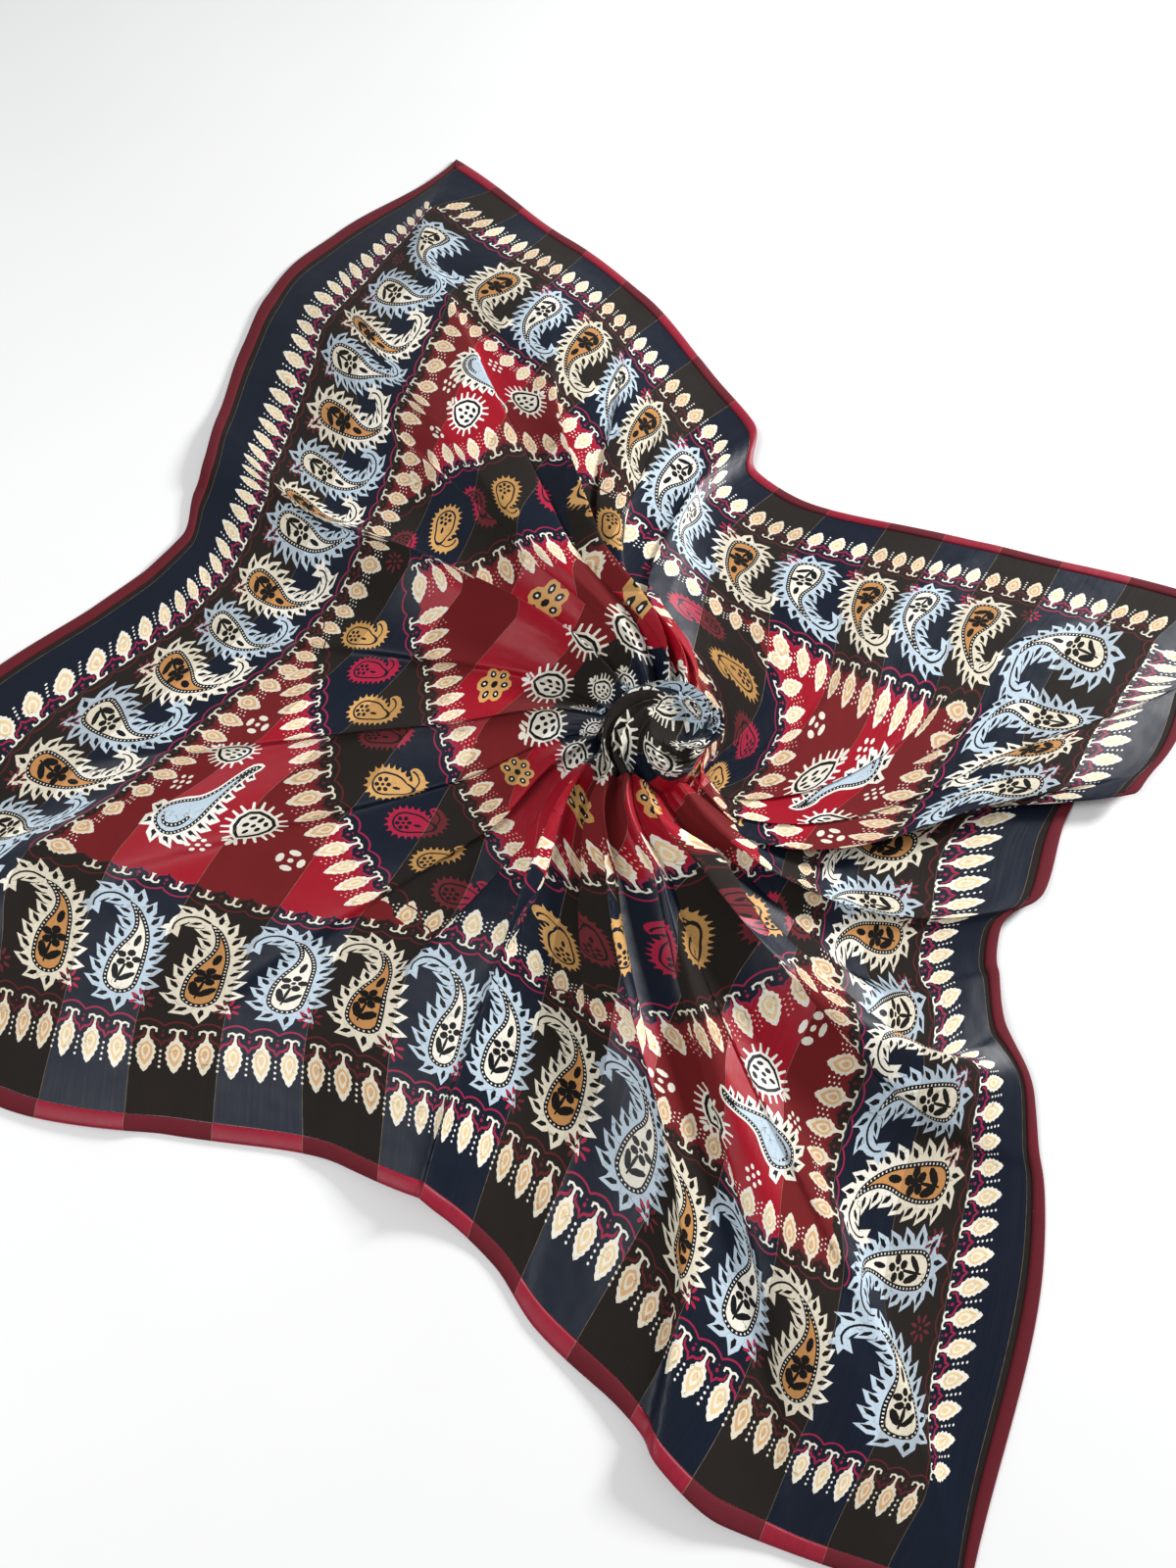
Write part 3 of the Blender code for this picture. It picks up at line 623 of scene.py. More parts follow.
PAISLEY_HEART = (
    # x, y, half width
    (1.5, -4.5, 10.9), (1.8, 6.0, 10.9), (2.7, 17.0, 9.3), (3.8, 28.0, 6.7),
    (2.2, 39.0, 4.1), (-3.2, 49.5, 2.4), (-10.0, 56.0, 1.4),
)
PAISLEY_TAIL = ((-18.0, 58.5, 1.0), (-25.0, 55.5, 0.8), (-28.5, 49.0, 0.4), (-28.0, 43.5, 0.2))
BLUE_PAISLEY = ("blue", "cream")
TAN_PAISLEY = ("cream", "brown")


def big_paisley(flame, field):
    """The wide border's large paisley, its bulb down and its tail hooked to the left."""
    whole = PAISLEY_HEART + PAISLEY_TAIL
    base = drop_outline(whole, 3.4, 64)
    tail = smooth_line(np.array(whole)[6:, :2], 12)
    shapes = []
    for turn, long in ((120, 9.0), (165, 10.5), (208, 9.0)):
        tuft = [(-3.2, 0), (-1.4, 5.0), (0, long), (2.6, 5.0), (3.2, 0)]
        shapes += moved(inked(flame, tuft), -27.5, 46.5, turn)
    shapes += inked(flame, base) + blades(base, flame)
    shapes += inked("black", stroke(tail, np.linspace(1.8, 1.0, 12)), drop_outline(PAISLEY_HEART, 0.0, 44))
    shapes += beads(drop_outline(PAISLEY_HEART, -1.35, 60, 0.97))
    shapes += inked(field, drop_outline(PAISLEY_HEART, -2.8, 34, 0.82))
    is_open = flame == "blue"
    petal, leaf = (2.6, 2.2) if is_open else (3.0, 2.9)
    shapes += inked("black", *ring(5, 80, 5.0, petal * 1.15, petal, 7, 2.3, 11.3))
    shapes += inked(field if is_open else "black", ellipse(2.3, 11.3, 2.5, 2.5))
    if is_open:
        shapes += inked("black", ellipse(2.3, 11.3, 1.5, 1.5, 0, 6))
    return shapes + inked(
        "black",
        stroke([(1.6, 7.0), (0.6, 1.0), (-0.8, -8.5)], (1.4, 2.0, 1.0)),
        ellipse(-3.0, -0.2, leaf, 6.2, 14),
        ellipse(4.6, -2.2, leaf * 0.95, 6.4, -48),
        ellipse(3.7, 27.0, leaf * 0.8, 5.4, -4),
    )


SMALL_SPINE = (
    # x, y, half width
    (0.0, 0.0, 13.5), (1.5, 9.0, 12.8), (4.5, 17.5, 9.8), (3.5, 25.5, 7.0),
    (-3.5, 29.0, 5.6), (-10.0, 26.0, 4.6), (-12.0, 20.5, 3.0),
)


def small_paisley(ink):
    """The narrow band's saw-edged paisley, its thick tail curled over to the left."""
    base = drop_outline(SMALL_SPINE, 0.0, 44)
    total = run_of(base)[-1]
    places = np.arange(0.10 * total, 0.86 * total, 4.9)
    teeth = [tooth(base, place, (-1.9, -1), (0, 3.4), (1.9, -1)) for place in places]
    curl = smooth_line(np.array(SMALL_SPINE)[3:, :2], 10)[:-1]
    return [
        *inked(ink, base, *teeth),
        *inked("ground", drop_outline(SMALL_SPINE, -3.3, 34, 0.56)),
        *inked(ink, drop_outline(SMALL_SPINE, -4.9, 28, 0.50)),
        *inked("ground", *ring(6, 90, 4.8, 1.9 * 1.15, 1.9, 6, 0.4, -1.2)),
        *inked("ground", ellipse(0.4, -1.2, 1.5, 1.5, 0, 6), ellipse(3.4, 10.0, 1.5, 3.6, -12, 6)),
        *inked("ground", stroke(curl, np.linspace(1.2, 1.7, len(curl)))),
    ]


def grown(outline, by):
    """A closed outline moved outwards by a distance."""
    points = np.asarray(outline, float)
    along = np.roll(points, -1, axis=0) - np.roll(points, 1, axis=0)
    out = np.stack([along[:, 1], -along[:, 0]], axis=1) / np.hypot(*along.T)[:, None]
    return points + out * by


DROP_MARKS = (
    # x, y, wide, high, turn
    (-5.4, -6.5, 1.7, 3.1, 28), (0, -8.0, 1.7, 3.2, 0), (5.4, -6.5, 1.7, 3.1, -28),
    (-4.6, 1.4, 1.8, 3.0, 8), (4.6, 1.4, 1.8, 3.0, -8), (0, -0.6, 1.5, 2.4, 0), (0, 7.6, 1.5, 3.2, 0),
)
DROP_BUD = ((0, 24.0, 2.0, 4.2, 0, 7), (-3.4, 22.0, 1.5, 3.6, 42, 6), (3.4, 22.0, 1.5, 3.6, -42, 6))


def spiky_drop():
    """A white drop with a dark band, petal marks and a comb of spikes. Its bud points up."""
    half = [(0, -15), (6.5, -14), (11.8, -9), (13, -1), (10.5, 7), (5.5, 13), (0, 17)]
    band = np.array(half + [(-x, y) for x, y in half[-2:0:-1]], float)
    rim = grown(band, 2.0)
    closed = np.concatenate([rim, rim[:1]])
    places = np.arange(2.0, run_of(closed)[-1], 5.6)
    spike = (-1.3, -1), (-0.8, 6.0), (0.8, 6.0), (1.3, -1)
    return [
        *inked("white", *(tooth(closed, place, *spike) for place in places), rim),
        *inked("black", band),
        *inked("white", grown(band, -2.6)),
        *inked("black", *(ellipse(*mark, 7) for mark in DROP_MARKS)),
        *inked("white", *(ellipse(*leaf) for leaf in DROP_BUD)),
    ]


FLAME_SPINE = (
    # x, y, half width
    (3.0, -19.0, 12.0), (2.5, -8.0, 11.0), (0.0, 5.0, 7.2), (-6.0, 17.0, 4.4),
    (-14.0, 27.0, 3.2), (-20.0, 38.0, 2.4), (-20.5, 49.0, 1.4),
)
FLAME_PETALS = 12


def flame_drop():
    """The corner triangles' blue teardrop, beaded, with large petals along its outer side."""
    base = drop_outline(FLAME_SPINE, 2.4, 50)
    total = run_of(base)[-1]
    shapes, marks = [], []
    for number in range(FLAME_PETALS):
        share = 0.96 - 0.56 * (number + 0.5) / FLAME_PETALS
        point, along, out = along_outline(base, share * total)
        size = 0.55 + 0.45 * min(1.0, (1 - share) / 0.25)
        shapes += inked("white", [
            point - along * 5.6 * size - out,
            point - along * 3.6 * size + out * 6.0 * size,
            point + out * 9.5 * size + along * 4.0,
            point + along * 4.6 * size + out * 3.4 * size,
            point + along * 5.0 * size - out,
        ])
        head = point + out * 6.4 * size + along * 2.4
        vein = [point - along * 1.6 - out * 0.2, head, point + along * 1.9 - out * 0.2]
        eye = ellipse(*(point + out * 1.8 * size), 2.0 * size, 1.6 * size, 0, 6)
        marks += inked("black", vein, eye)
    ladder = smooth_line([(-2.5, -23.0), (6.0, -24.0), (9.0, -14.0), (5.5, -3.0)], 9)
    return [
        *shapes,
        *inked("white", base),
        *marks,
        *inked("black", drop_outline(FLAME_SPINE, 0.6, 40, 0.96)),
        *beads(drop_outline(FLAME_SPINE, -0.6, 56, 0.92)),
        *inked("blue", drop_outline(FLAME_SPINE, -2.0, 30, 0.74)),
        *inked("black", stroke(ladder, (1.0, 2.6, 3.0, 3.0, 3.0, 3.0, 2.8, 2.4, 1.0))),
        *beads(ladder, 3.2, 0.8),
    ]


def eyed_flower():
    """A tan flower of six petals, each with a dark eye."""
    shapes = inked("gold", *ring(6, 90, 9.0, 5.8 * 1.15, 5.8, 9), ellipse(0, 0, 6.5, 6.5))
    for eye, glint in zip(ring(6, 90, 9.2, 3.4, 2.7, 7), ring(6, 90, 9.2, 1.4, 1.0, 5)):
        shapes += inked("black", eye) + inked("white", glint)
    return shapes + inked("black", ellipse(0, 0, 3.0, 3.0, 0, 7))


def star():
    """Eight narrow petals."""
    return inked("crimson", *ring(8, 22, 6.6, 3.3, 1.25, 6), ellipse(0, 0, 1.5, 1.5, 0, 6))


def dot_cluster():
    """Seven dots: six about one."""
    return inked("white", *ring(6, 0, 6.4, 1.9 * 1.15, 1.9, 6), ellipse(0, 0, 1.9, 1.9, 0, 6))


def rosette():
    """Four thick petals about a dot."""
    return inked("white", ellipse(0, 0, 2.2, 2.2, 0, 6), *ring(4, 45, 7.6, 2.7, 4.4, 8))


def red_edge(start, end, inset):
    """The scalloped edge of a red field along a line, in stripes, inset to its left."""
    start, along, count, step = leaf_places(start, end)
    left = np.array([-along[1], along[0]])
    t = np.arange(count * 4 + 1) / 4
    wave = np.abs(np.cos(math.pi * t))
    return start + along * (step * t)[:, None] + left * (inset + 2.2 - 3.4 * wave)[:, None]


PITCH = 1 / 3  # from leaf to leaf, in stripes
INNER_AT = 6.0
OUTER_AT = 8.0
CORNER_CUT = 7.1  # the corner triangles' long side is where |u| + |v| is this
BAND_AT = 6.05  # the small paisleys' row, the same way
RED_INSET = 9.5  # the red fields start this far from the line their leaves stand on, in millimetres
PAISLEY_DROP = 23.0  # from the middle of the wide border out to a large paisley's bulb, and along it
PAISLEY_SHIFT = 7.0
TRIANGLE_FIGURES = (
    # across, from the right angle inwards, turn, figure
    (-4, 112, 0, "flame"),
    (-34, 145, 210, "drop"),
    (54, 130, 120, "drop"),
    (-78, 155, 0, "rosette"),
    (90, 154, 0, "rosette"),
    (-40, 106, 0, "dots"),
    (31, 92, 0, "dots"),
)


def red_diamond():
    reach = DIAMOND_AT - RED_INSET * math.sqrt(2) / P
    edge = red_edge((0, -reach), (reach, 0), 0.0)
    return np.concatenate([spun(edge, 90 * number) for number in range(4)])


def red_triangle(near, far):
    """The red field of the corner triangle at (+, -)."""
    inset = RED_INSET / P
    ends = inset * math.tan(math.radians(67.5))
    unit = ends / math.sqrt(2)
    return np.concatenate([
        red_edge((near + ends, -far), (far - inset, -far), RED_INSET),
        red_edge((far, -far + inset), (far, -near - ends), RED_INSET),
        red_edge((far - unit, -near - unit), (near + unit, -far + unit), RED_INSET),
    ])


def quarter_of_print(number):
    """A quarter of the print, as it is at the near side and the corner to its right."""
    near, far = CORNER_CUT - INNER_AT, INNER_AT
    shapes = [(red_triangle(near, far), "red")]
    shapes += leaf_row((-far, -far), (far, -far), ("white", 2, 3, 0.8), (2, 0))
    shapes += leaf_row((OUTER_AT, -OUTER_AT), (-OUTER_AT, -OUTER_AT), ("white", 1, 4, 1.0), (0, 0))
    shapes += leaf_row((far, -near), (near, -far), ("pink", 2, 4, 0.75), (3, 3))
    shapes += leaf_row((0, -DIAMOND_AT), (DIAMOND_AT, 0), ("pink", 2, 4, 0.75), (2, 0))
    along_weft = number % 2 == 0
    count, pitch = (12, 1.0) if along_weft else (13, 0.955)
    pair = [widened(big_paisley(*inks), 1.26, 1.1) for inks in (TAN_PAISLEY, BLUE_PAISLEY)]
    for step in range(count):
        u = (step - (count - 1) / 2) * pitch
        is_blue = math.floor(abs(u)) % 2 == 0 if along_weft else step % 2 == 0
        shapes += moved(star(), (u - 0.5) * P, -7.68 * P)
        shapes += moved(pair[is_blue], u * P + PAISLEY_SHIFT, -7.0 * P - PAISLEY_DROP)
    shapes += moved(widened(big_paisley(*BLUE_PAISLEY), 1.9, 1.1), 7.2 * P, -7.3 * P, 12)
    figures = {
        "flame": moved(widened(flame_drop(), 1.22, 0.82), size=1.04),
        "drop": spiky_drop(),
        "rosette": rosette(),
        "dots": dot_cluster(),
    }
    for x, y, turn, name in TRIANGLE_FIGURES:
        shapes += moved(moved(figures[name], x, -y, turn + 180), far * P, -far * P, 225)
    small = [widened(small_paisley(ink), 1.12, 1.0) for ink in ("gold", "crimson")]
    for step in range(8):
        u = 1.02 + (BAND_AT - 2.04) * step / 7
        shapes += moved(moved(small[step % 2], 2, -9), u * P, -(BAND_AT - u) * P, 25, 0.92)
    return shapes + moved(star(), 0, -5.26 * P)


def medallion():
    """The middle: a dark round, a little towards the grabbed place, with paisleys, drops and flowers."""
    shapes = [(ellipse(0.4 * P, 0.1 * P, 2.05 * P, 2.05 * P, points=40), "ground")]
    for number in range(8):
        shapes += fanned(eyed_flower(), 2.72 * P, 22.5 + 45 * number, 1.5)
    for number in range(10):
        shapes += fanned(spiky_drop(), 1.88 * P, 18 + 36 * number, 1.45)
        shapes += fanned(moved(spiky_drop(), size=0.62), 1.12 * P, 36 * number, 1.25)
    for number in range(5):
        shapes += moved(moved(big_paisley(*BLUE_PAISLEY), 4, -46, 0, 0.78), turn=72 * number + 10)
    return shapes


def draw_print():
    """The whole print."""
    shapes = [(red_diamond(), "red")]
    for number in range(4):
        shapes += moved(quarter_of_print(number), turn=90 * number)
    return shapes + medallion()


# ---- Materials ----
def linear(code):
    """A colour written as six hexadecimal digits, as linear red, green and blue."""
    parts = [int(code[i:i + 2], 16) / 255 for i in (0, 2, 4)]
    return tuple(c / 12.92 if c <= 0.04045 else ((c + 0.055) / 1.055) ** 2.4 for c in parts)


class Shader:
    """A material's nodes, made by short calls."""

    def __init__(self, name):
        self.material = bpy.data.materials.new(name)
        self.material.use_nodes = True
        self.tree = self.material.node_tree
        self.principled = self.tree.nodes["Principled BSDF"]

    def link(self, value, socket):
        if isinstance(value, (int, float, tuple)):
            socket.default_value = value
        else:
            self.tree.links.new(value, socket)

    def node(self, kind, inputs, output=0, **settings):
        """An output of a new node. Its inputs are given by number or by name."""
        node = self.tree.nodes.new(kind)
        for key, value in settings.items():
            setattr(node, key, value)
        for key, value in inputs.items():
            self.link(value, node.inputs[key])
        return node.outputs[output]

    def math(self, operation, *values):
        return self.node("ShaderNodeMath", dict(enumerate(values)), operation=operation)

    def times(self, a, b):
        return self.math("MULTIPLY", a, b)

    def plus(self, a, b):
        return self.math("ADD", a, b)

    def mix(self, share, a, b, blend="MIX"):
        a, b = ((*value, 1) if isinstance(value, tuple) else value for value in (a, b))
        inputs = {"Factor": share, 6: a, 7: b}
        return self.node("ShaderNodeMix", inputs, 2, data_type="RGBA", blend_type=blend)

    def attribute(self, name, output="Color"):
        return self.node("ShaderNodeAttribute", {}, output, attribute_name=name)

    def combine(self, x, y, z=0.0):
        return self.node("ShaderNodeCombineXYZ", {0: x, 1: y, 2: z})

    def noise(self, vector, scale, detail=2.0, roughness=0.5):
        inputs = {"Vector": vector, "Scale": scale, "Detail": detail, "Roughness": roughness}
        return self.node("ShaderNodeTexNoise", inputs, "Fac")

    def cracks(self, vector, scale):
        inputs = {"Vector": vector, "Scale": scale}
        return self.node("ShaderNodeTexVoronoi", inputs, "Distance", feature="DISTANCE_TO_EDGE")

    def ramp(self, *values):
        """A value brought from between two numbers to between two others."""
        return self.node("ShaderNodeMapRange", dict(enumerate(values)))

    def bump(self, height, strength, distance, **normal):
        inputs = {"Strength": strength, "Distance": distance, "Height": height, **normal}
        return self.node("ShaderNodeBump", inputs)


THREAD_HALF = 0.0030  # half the pale thread between two stripes, in stripes
THREAD_COLOUR = "93816A"
WEAVE_PITCH = 0.9  # in millimetres
GLOSS = {"Sheen Weight": 0.06, "Sheen Roughness": 0.4, "Specular IOR Level": 0.22}


def silk_base(shader):
    """What all this cloth shares: its thread coordinates, in stripes, and which stripe it is in."""
    uv = shader.node("ShaderNodeUVMap", {}, uv_map="flat")
    parts = shader.node("ShaderNodeSeparateXYZ", {0: uv}).node.outputs
    u, v = (shader.times(shader.math("SUBTRACT", part, 0.5), STRIPES) for part in parts[:2])
    matte = shader.math("MODULO", shader.math("FLOOR", shader.math("ABSOLUTE", u)), 2.0)
    to_line = shader.math("ABSOLUTE", shader.math("SUBTRACT", u, shader.math("ROUND", u)))
    thread = shader.math("LESS_THAN", to_line, THREAD_HALF)
    return u, v, matte, thread


def silk_finish(shader, u, v, matte, thread, colour):
    """Weave, slubs, gloss and painted glints on the pale thread, of the satin and matte stripes."""
    times, plus = shader.times, shader.plus
    flat = shader.combine(u, v)
    streak = shader.noise(shader.combine(times(u, 30.0), times(v, 0.7)), 1.0, 3.0, 0.6)
    cloud = shader.noise(flat, 0.9, 3.0, 0.55)
    grain = shader.noise(flat, 60.0, 1.0, 0.5)
    tone = plus(shader.ramp(streak, 0.3, 0.7, 0.93, 1.05), shader.ramp(cloud, 0.3, 0.7, -0.06, 0.06))
    tone = plus(tone, shader.ramp(grain, 0.3, 0.7, -0.05, 0.05))
    colour = shader.mix(1.0, colour, shader.combine(tone, tone, tone), "MULTIPLY")
    # The pale thread between stripes is mixed in more or less strongly along its length by noise. This is a
    # painted glint on the thread.
    glint = shader.noise(shader.combine(times(v, 9.0), u), 1.0, 1.0)
    painted_thread_glint = times(thread, shader.ramp(glint, 0.35, 0.65, 0.35, 0.75))
    colour = shader.mix(painted_thread_glint, colour, linear(THREAD_COLOUR))
    rough = plus(shader.ramp(matte, 0.0, 1.0, 0.38, 0.90), shader.ramp(streak, 0.3, 0.7, -0.05, 0.07))
    weave, weft = (shader.math("SINE", times(way, 2 * math.pi * P / WEAVE_PITCH)) for way in (u, v))
    normal = shader.bump(times(weave, weft), 0.12, 0.0002)
    # Wrinkles run out from the twist and fade before the border
    x = shader.math("SUBTRACT", u, GRABBED[0] / STRIPE)
    y = shader.math("SUBTRACT", v, GRABBED[1] / STRIPE)
    away = shader.math("SQRT", plus(times(x, x), times(y, y)))
    cos, sin = (shader.math("DIVIDE", part, shader.math("MAXIMUM", away, 0.05)) for part in (x, y))
    turn = shader.combine(times(cos, 9.0), times(sin, 9.0), times(away, 0.8))
    wrinkle = times(shader.noise(turn, 1.0, 2.0, 0.5), shader.ramp(away, 1.5, 6.5, 1.0, 0.12))
    normal = shader.bump(wrinkle, 0.55, 0.006, Normal=normal)
    normal = shader.bump(shader.noise(flat, 1.3, 2.0, 0.5), 0.25, 0.006, Normal=normal)
    for socket, value in {"Base Color": colour, "Roughness": rough, "Normal": normal, **GLOSS}.items():
        shader.link(value, shader.principled.inputs[socket])


def printed_silk():
    """The printed cloth. Its light inks are finely cracked, so the dark cloth shows through."""
    shader = Shader("printed_silk")
    u, v, matte, thread = silk_base(shader)
    satin_ink, matte_ink = shader.attribute("ink_on_satin"), shader.attribute("ink_on_matte")
    colour = shader.mix(matte, satin_ink, matte_ink)
    cracked = shader.attribute("crackle", "Fac")
    bend = shader.noise(shader.combine(u, v), 6.0, 2.0)
    bent = shader.combine(shader.plus(u, shader.times(bend, 0.35)), v)
    crack = shader.times(shader.ramp(shader.cracks(bent, 7.0), 0.010, 0.024, 1.0, 0.0), cracked)
    crack = shader.times(crack, shader.ramp(bend, 0.45, 0.60, 0.0, 0.55))
    ground = shader.mix(matte, linear(INKS[0][1]), linear(INKS[0][2]))
    silk_finish(shader, u, v, matte, thread, shader.mix(crack, colour, ground))
    return shader.material


def hem_silk():
    """The rolled crimson edge."""
    shader = Shader("hem_silk")
    u, v, matte, thread = silk_base(shader)
    colour = shader.mix(matte, linear("8E1C30"), linear("621B25"))
    silk_finish(shader, u, v, matte, thread, colour)
    return shader.material


# ---- Making the pieces ----
def new_object(name, data):
    """An object in the scene."""
    made = bpy.data.objects.new(name, data)
    bpy.context.scene.collection.objects.link(made)
    return made


def new_mesh(name, points, faces, material):
    """A mesh object of one material."""
    mesh = bpy.data.meshes.new(name)
    mesh.from_pydata(points, [], faces)
    mesh.materials.append(material)
    return new_object(name, mesh)


def make_mesh(name, points, faces, material, flat_places):
    """A piece on the body, with its thread coordinates as a UV map."""
    piece = new_mesh(name, points.tolist(), faces, material)
    mesh = piece.data
    uv = mesh.uv_layers.new(name="flat")
    loops = np.empty(len(mesh.loops), dtype=np.int32)
    mesh.loops.foreach_get("vertex_index", loops)
    uv.data.foreach_set("uv", (flat_places / SIDE + 0.5)[loops].astype(np.float32).ravel())
    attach(piece, "root")
    return piece


GRID_RINGS = 150
GRID_FIRST = 4.2  # the inmost ring's radius, in millimetres
GRID_REACH = 800  # from the inmost ring to the outmost
GRID_MARGIN = 3.0  # the grid stops this far inside the cloth's edge


def cloth_grid():
    """Points of the flat square, in millimetres, spread so that folds near the twist are fine."""
    points = []
    for ring_number in range(GRID_RINGS + 1):
        share = ring_number / GRID_RINGS
        flat = GRID_FIRST + GRID_REACH * share**1.25
        count = int(np.clip(2 * math.pi * flat / (1.9 + 3.0 * share), 12, 560))
        angle = 2 * math.pi * (np.arange(count) + 0.5 * (ring_number % 2)) / count
        points.append(np.stack([flat * np.cos(angle), flat * np.sin(angle)], axis=1))
    points = np.concatenate(points) + np.array(GRABBED) * 1000
    limit = HEM_AT * P - (HEM_WIDTH + SEAM) * 1000 - GRID_MARGIN
    return points[(np.abs(points) < limit).all(axis=1)]


def anticlockwise(outline):
    """The outline in the order that keeps its inside on the left."""
    x, y = np.asarray(outline, float).T
    twice_area = (x * np.roll(y, -1) - y * np.roll(x, -1)).sum()
    return np.asarray(outline) if twice_area > 0 else np.asarray(outline)[::-1]


def cut_print(squares, grid, shapes):
    """Triangles of the flat cloth, cut along every printed outline.

    The first square is the whole cloth, the rest divide it, the smallest last. Returns the points,
    the triangles, each one's ink, and how many of the squares it is in.
    """
    places, faces = [], []
    for shape in (*squares, *(shape for shape, _ in shapes)):
        start = len(places)
        places += [Vector(p) for p in anticlockwise(shape).tolist()]
        faces.append(list(range(start, len(places))))
    places += [Vector(p) for p in grid.tolist()]
    points, _, triangles, _, _, origins = delaunay_2d_cdt(places, [], faces, 0, 1e-4, True)
    inks = [INK_NUMBER["ground"]] * len(squares) + [INK_NUMBER[ink] for _, ink in shapes]
    kept = [number for number, origin in enumerate(origins) if 0 in origin]
    triangles = np.array([triangles[number] for number in kept])
    triangle_inks = np.array([inks[max(origins[number])] for number in kept])
    depth = np.array([sum(square in origins[number] for square in range(len(squares))) for number in kept])
    return np.array([(p[0], p[1]) for p in points]), triangles, triangle_inks, depth


def square_outline(half):
    """The outline of a square about the cloth's middle, in millimetres."""
    count = int(2 * half / OUTLINE_STEP)
    run = np.linspace(-half, half, count + 1)[:-1]
    near = np.stack([run, np.full(count, -half)], axis=1)
    return np.concatenate([spun(near, 90 * number) for number in range(4)])


def normals_at(flat):
    """The cloth's unit normals at points of the flat square."""
    along_u, along_v = (place_cloth(flat + step) - place_cloth(flat - step) for step in NORMAL_STEPS)
    normal = np.cross(along_u, along_v)
    return normal / np.maximum(np.linalg.norm(normal, axis=1, keepdims=True), 1e-12)


OUTLINE_STEP = 6.0  # between points of the squares that divide the cloth, in millimetres
NORMAL_STEPS = np.array([(0.0006, 0), (0, 0.0006)])
CLOTH_EDGE = HEM_AT - (HEM_WIDTH + SEAM) / STRIPE
CLOTH_PIECES = (
    # name, outer edge in stripes, share of its cut that shows
    ("cloth_edge", CLOTH_EDGE, 0.95),
    ("cloth_band", 7.6, 0.90),
    ("cloth_field", 6.0, 0.85),
    ("cloth_middle", 3.2, 0.80),
)


def make_cloth(material):
    """The printed square, from its hem to the middle of the twist, in square rings about each other."""
    squares = [square_outline(edge * P) for _, edge, _ in CLOTH_PIECES]
    flat, triangles, inks, depth = cut_print(squares, cloth_grid(), draw_print())
    flat = flat / 1000
    pieces = []
    for number, (name, _, _) in enumerate(CLOTH_PIECES):
        chosen = depth == number + 1
        used, corners = np.unique(triangles[chosen], return_inverse=True)
        places = flat[used]
        faces = corners.reshape(-1, 3).tolist()
        piece = make_mesh(name, place_cloth(places) - MIDDLE, faces, material, places)
        mesh = piece.data
        for attribute, column in (("ink_on_satin", 1), ("ink_on_matte", 2)):
            colours = np.array([(*linear(row[column]), 1.0) for row in INKS])[inks[chosen]]
            layer = mesh.attributes.new(attribute, "FLOAT_COLOR", "FACE")
            layer.data.foreach_set("color", colours.ravel())
        crackle = np.array([row[3] for row in INKS], float)[inks[chosen]]
        mesh.attributes.new("crackle", "FLOAT", "FACE").data.foreach_set("value", crackle)
        mesh.shade_smooth()
        mesh.normals_split_custom_set_from_vertices(normals_at(places).tolist())
        pieces.append(piece)
    return pieces


HEM_HEIGHT = 0.0032
HEM_STEPS = 260


def hem_section():
    """The rolled hem's section: inset from the edge and height over the cloth's upper face."""
    crown = HEM_HEIGHT - WALL
    arc = [
        (HEM_WIDTH * (0.5 + 0.5 * math.cos(a)), crown * math.sin(a) ** 0.7)
        for a in np.linspace(0, math.pi, 9)
    ]
    return [(HEM_WIDTH, -WALL), *arc, (0.0, -WALL)]


def make_hem(name, side, material):
    """The rolled hem along one side."""
    start, end = (Section.bearing_of(side_places(side, end * HEM_AT, HEM_AT)) for end in (-1, 1))
    if side not in ("near", "right"):
        start, end = end, start
    if end < start:
        end += 2 * math.pi
    rows, flats = [], []
    section = hem_section()
    for inset, height in section:
        distance = HEM_AT * STRIPE - inset
        trims = [SEAM / line_distance(np.array([b]), distance, True)[0] for b in (start, end)]
        bearing = np.linspace(start + trims[0], end - trims[1], HEM_STEPS)
        reach = line_distance(bearing, distance, True)
        points = lay(bearing, reach) - MIDDLE
        points[:, 2] = np.maximum(points[:, 2] + height, 0.0)
        rows.append(points)
        flats.append(np.stack([reach * np.cos(bearing), reach * np.sin(bearing)], axis=1) + GRABBED)
    count = len(section)
    faces = []
    for row in range(count):
        following = (row + 1) % count
        for step in range(HEM_STEPS - 1):
            a, b = row * HEM_STEPS + step, following * HEM_STEPS + step
            faces.append((a, b, b + 1, a + 1))
    faces.append(tuple(row * HEM_STEPS for row in reversed(range(count))))
    faces.append(tuple(row * HEM_STEPS + HEM_STEPS - 1 for row in range(count)))
    piece = make_mesh(name, np.concatenate(rows), faces, material, np.concatenate(flats))
    piece.data.shade_smooth()
    piece.data.set_sharp_from_angle(angle=math.radians(60))
    return piece


# ---- Floor, light and camera ----
CAMERA_HEIGHT = 0.84
CAMERA_TILT = 25.0  # degrees from straight down
CAMERA_FROM_TWIST = (-0.0503, -0.4141)
FOCAL_PIXELS = 1155
PHOTO_HEIGHT = 1600
SENSOR = 36
FLOOR_HALF = 6.0
FLOOR_DROP = 0.0002  # the floor lies this far below the cloth, so that they don't share a plane
LAMPS = (
    # name, place, side, power
    ("window", (2.1, 1.0, 0.95), 0.5, 80),
    ("sky", (-1.1, -0.5, 1.9), 1.0, 22),
)
SKY_COLOUR = (0.97, 0.98, 1.0, 1)
SKY_STRENGTH = 0.36


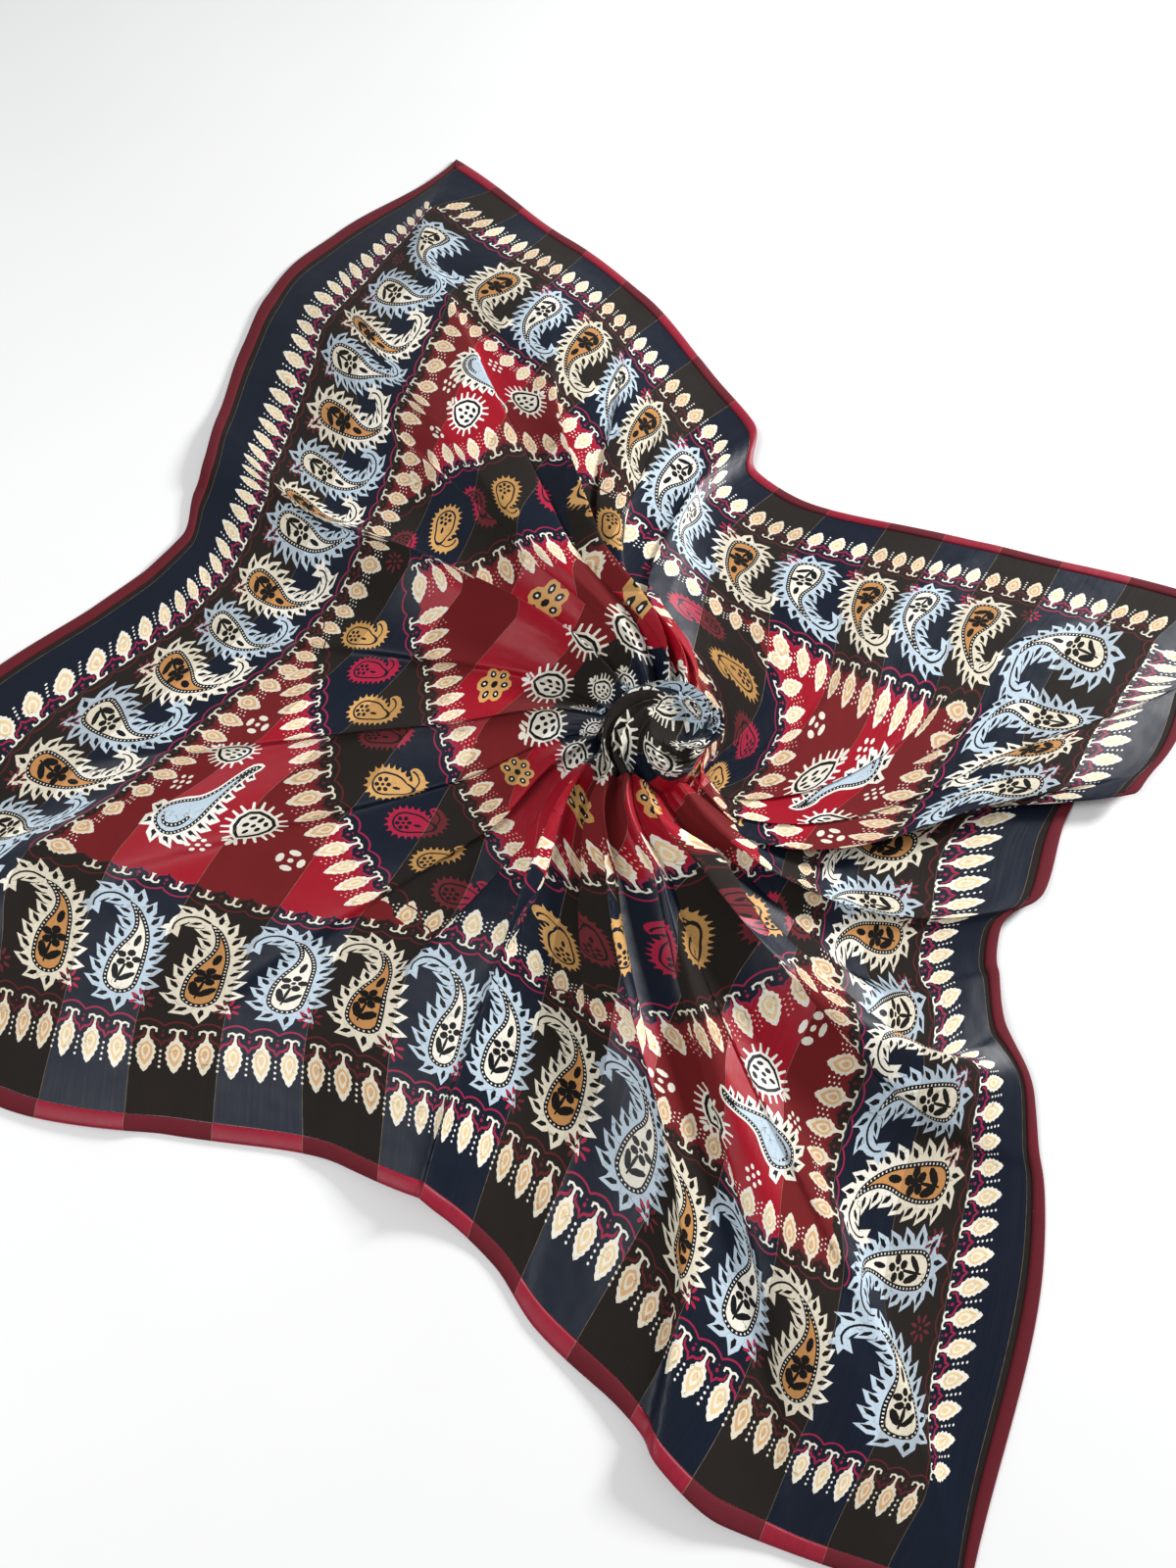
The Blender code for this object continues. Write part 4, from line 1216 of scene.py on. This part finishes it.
def make_floor():
    shader = Shader("floor")
    place = shader.node("ShaderNodeTexCoord", {}, "Object")
    tone = shader.ramp(shader.noise(place, 3.0, 4.0), 0.3, 0.7, 0.90, 0.93)
    shader.link(shader.combine(tone, tone, tone), shader.principled.inputs["Base Color"])
    shader.principled.inputs["Roughness"].default_value = 0.7
    corners = [(x * FLOOR_HALF, y * FLOOR_HALF, 0) for x, y in ((-1, -1), (1, -1), (1, 1), (-1, 1))]
    floor = new_mesh("floor", corners, [(0, 1, 2, 3)], shader.material)
    floor.location.z = -FLOOR_DROP


def make_light():
    for name, place, side, power in LAMPS:
        light = bpy.data.lights.new(name, "AREA")
        light.shape = "RECTANGLE"
        light.size = light.size_y = side
        light.energy = power
        lamp = new_object(name, light)
        lamp.location = place
        lamp.rotation_euler = (-Vector(place)).to_track_quat("-Z", "Y").to_euler()
    world = bpy.data.worlds.new("studio")
    bpy.context.scene.world = world
    world.use_nodes = True
    colour, strength = world.node_tree.nodes["Background"].inputs[:2]
    colour.default_value = SKY_COLOUR
    strength.default_value = SKY_STRENGTH
    bpy.context.scene.view_settings.view_transform = "Standard"


def make_camera():
    camera = bpy.data.cameras.new("camera")
    camera.sensor_fit = "VERTICAL"
    camera.sensor_height = SENSOR
    camera.lens = FOCAL_PIXELS / PHOTO_HEIGHT * SENSOR
    holder = new_object("camera", camera)
    x, y = (CAMERA_FROM_TWIST[axis] - MIDDLE[axis] for axis in (0, 1))
    holder.location = (x, y, CAMERA_HEIGHT)
    holder.rotation_euler = (math.radians(CAMERA_TILT), 0, 0)
    bpy.context.scene.camera = holder


silk, edge_silk = printed_silk(), hem_silk()
for side in ("far", "right", "near", "left"):
    hem = make_hem(f"rolled_{side}", side, edge_silk)
    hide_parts(f"hem_{side}")
cloth = make_cloth(silk)
for number, (piece, (name, edge, shows)) in enumerate(zip(cloth, CLOTH_PIECES)):
    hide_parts(*(("panel", "twist") if name == "cloth_middle" else ("panel",)))
    side = SIDE if number == 0 else 2 * edge * STRIPE
make_floor()
make_light()
make_camera()
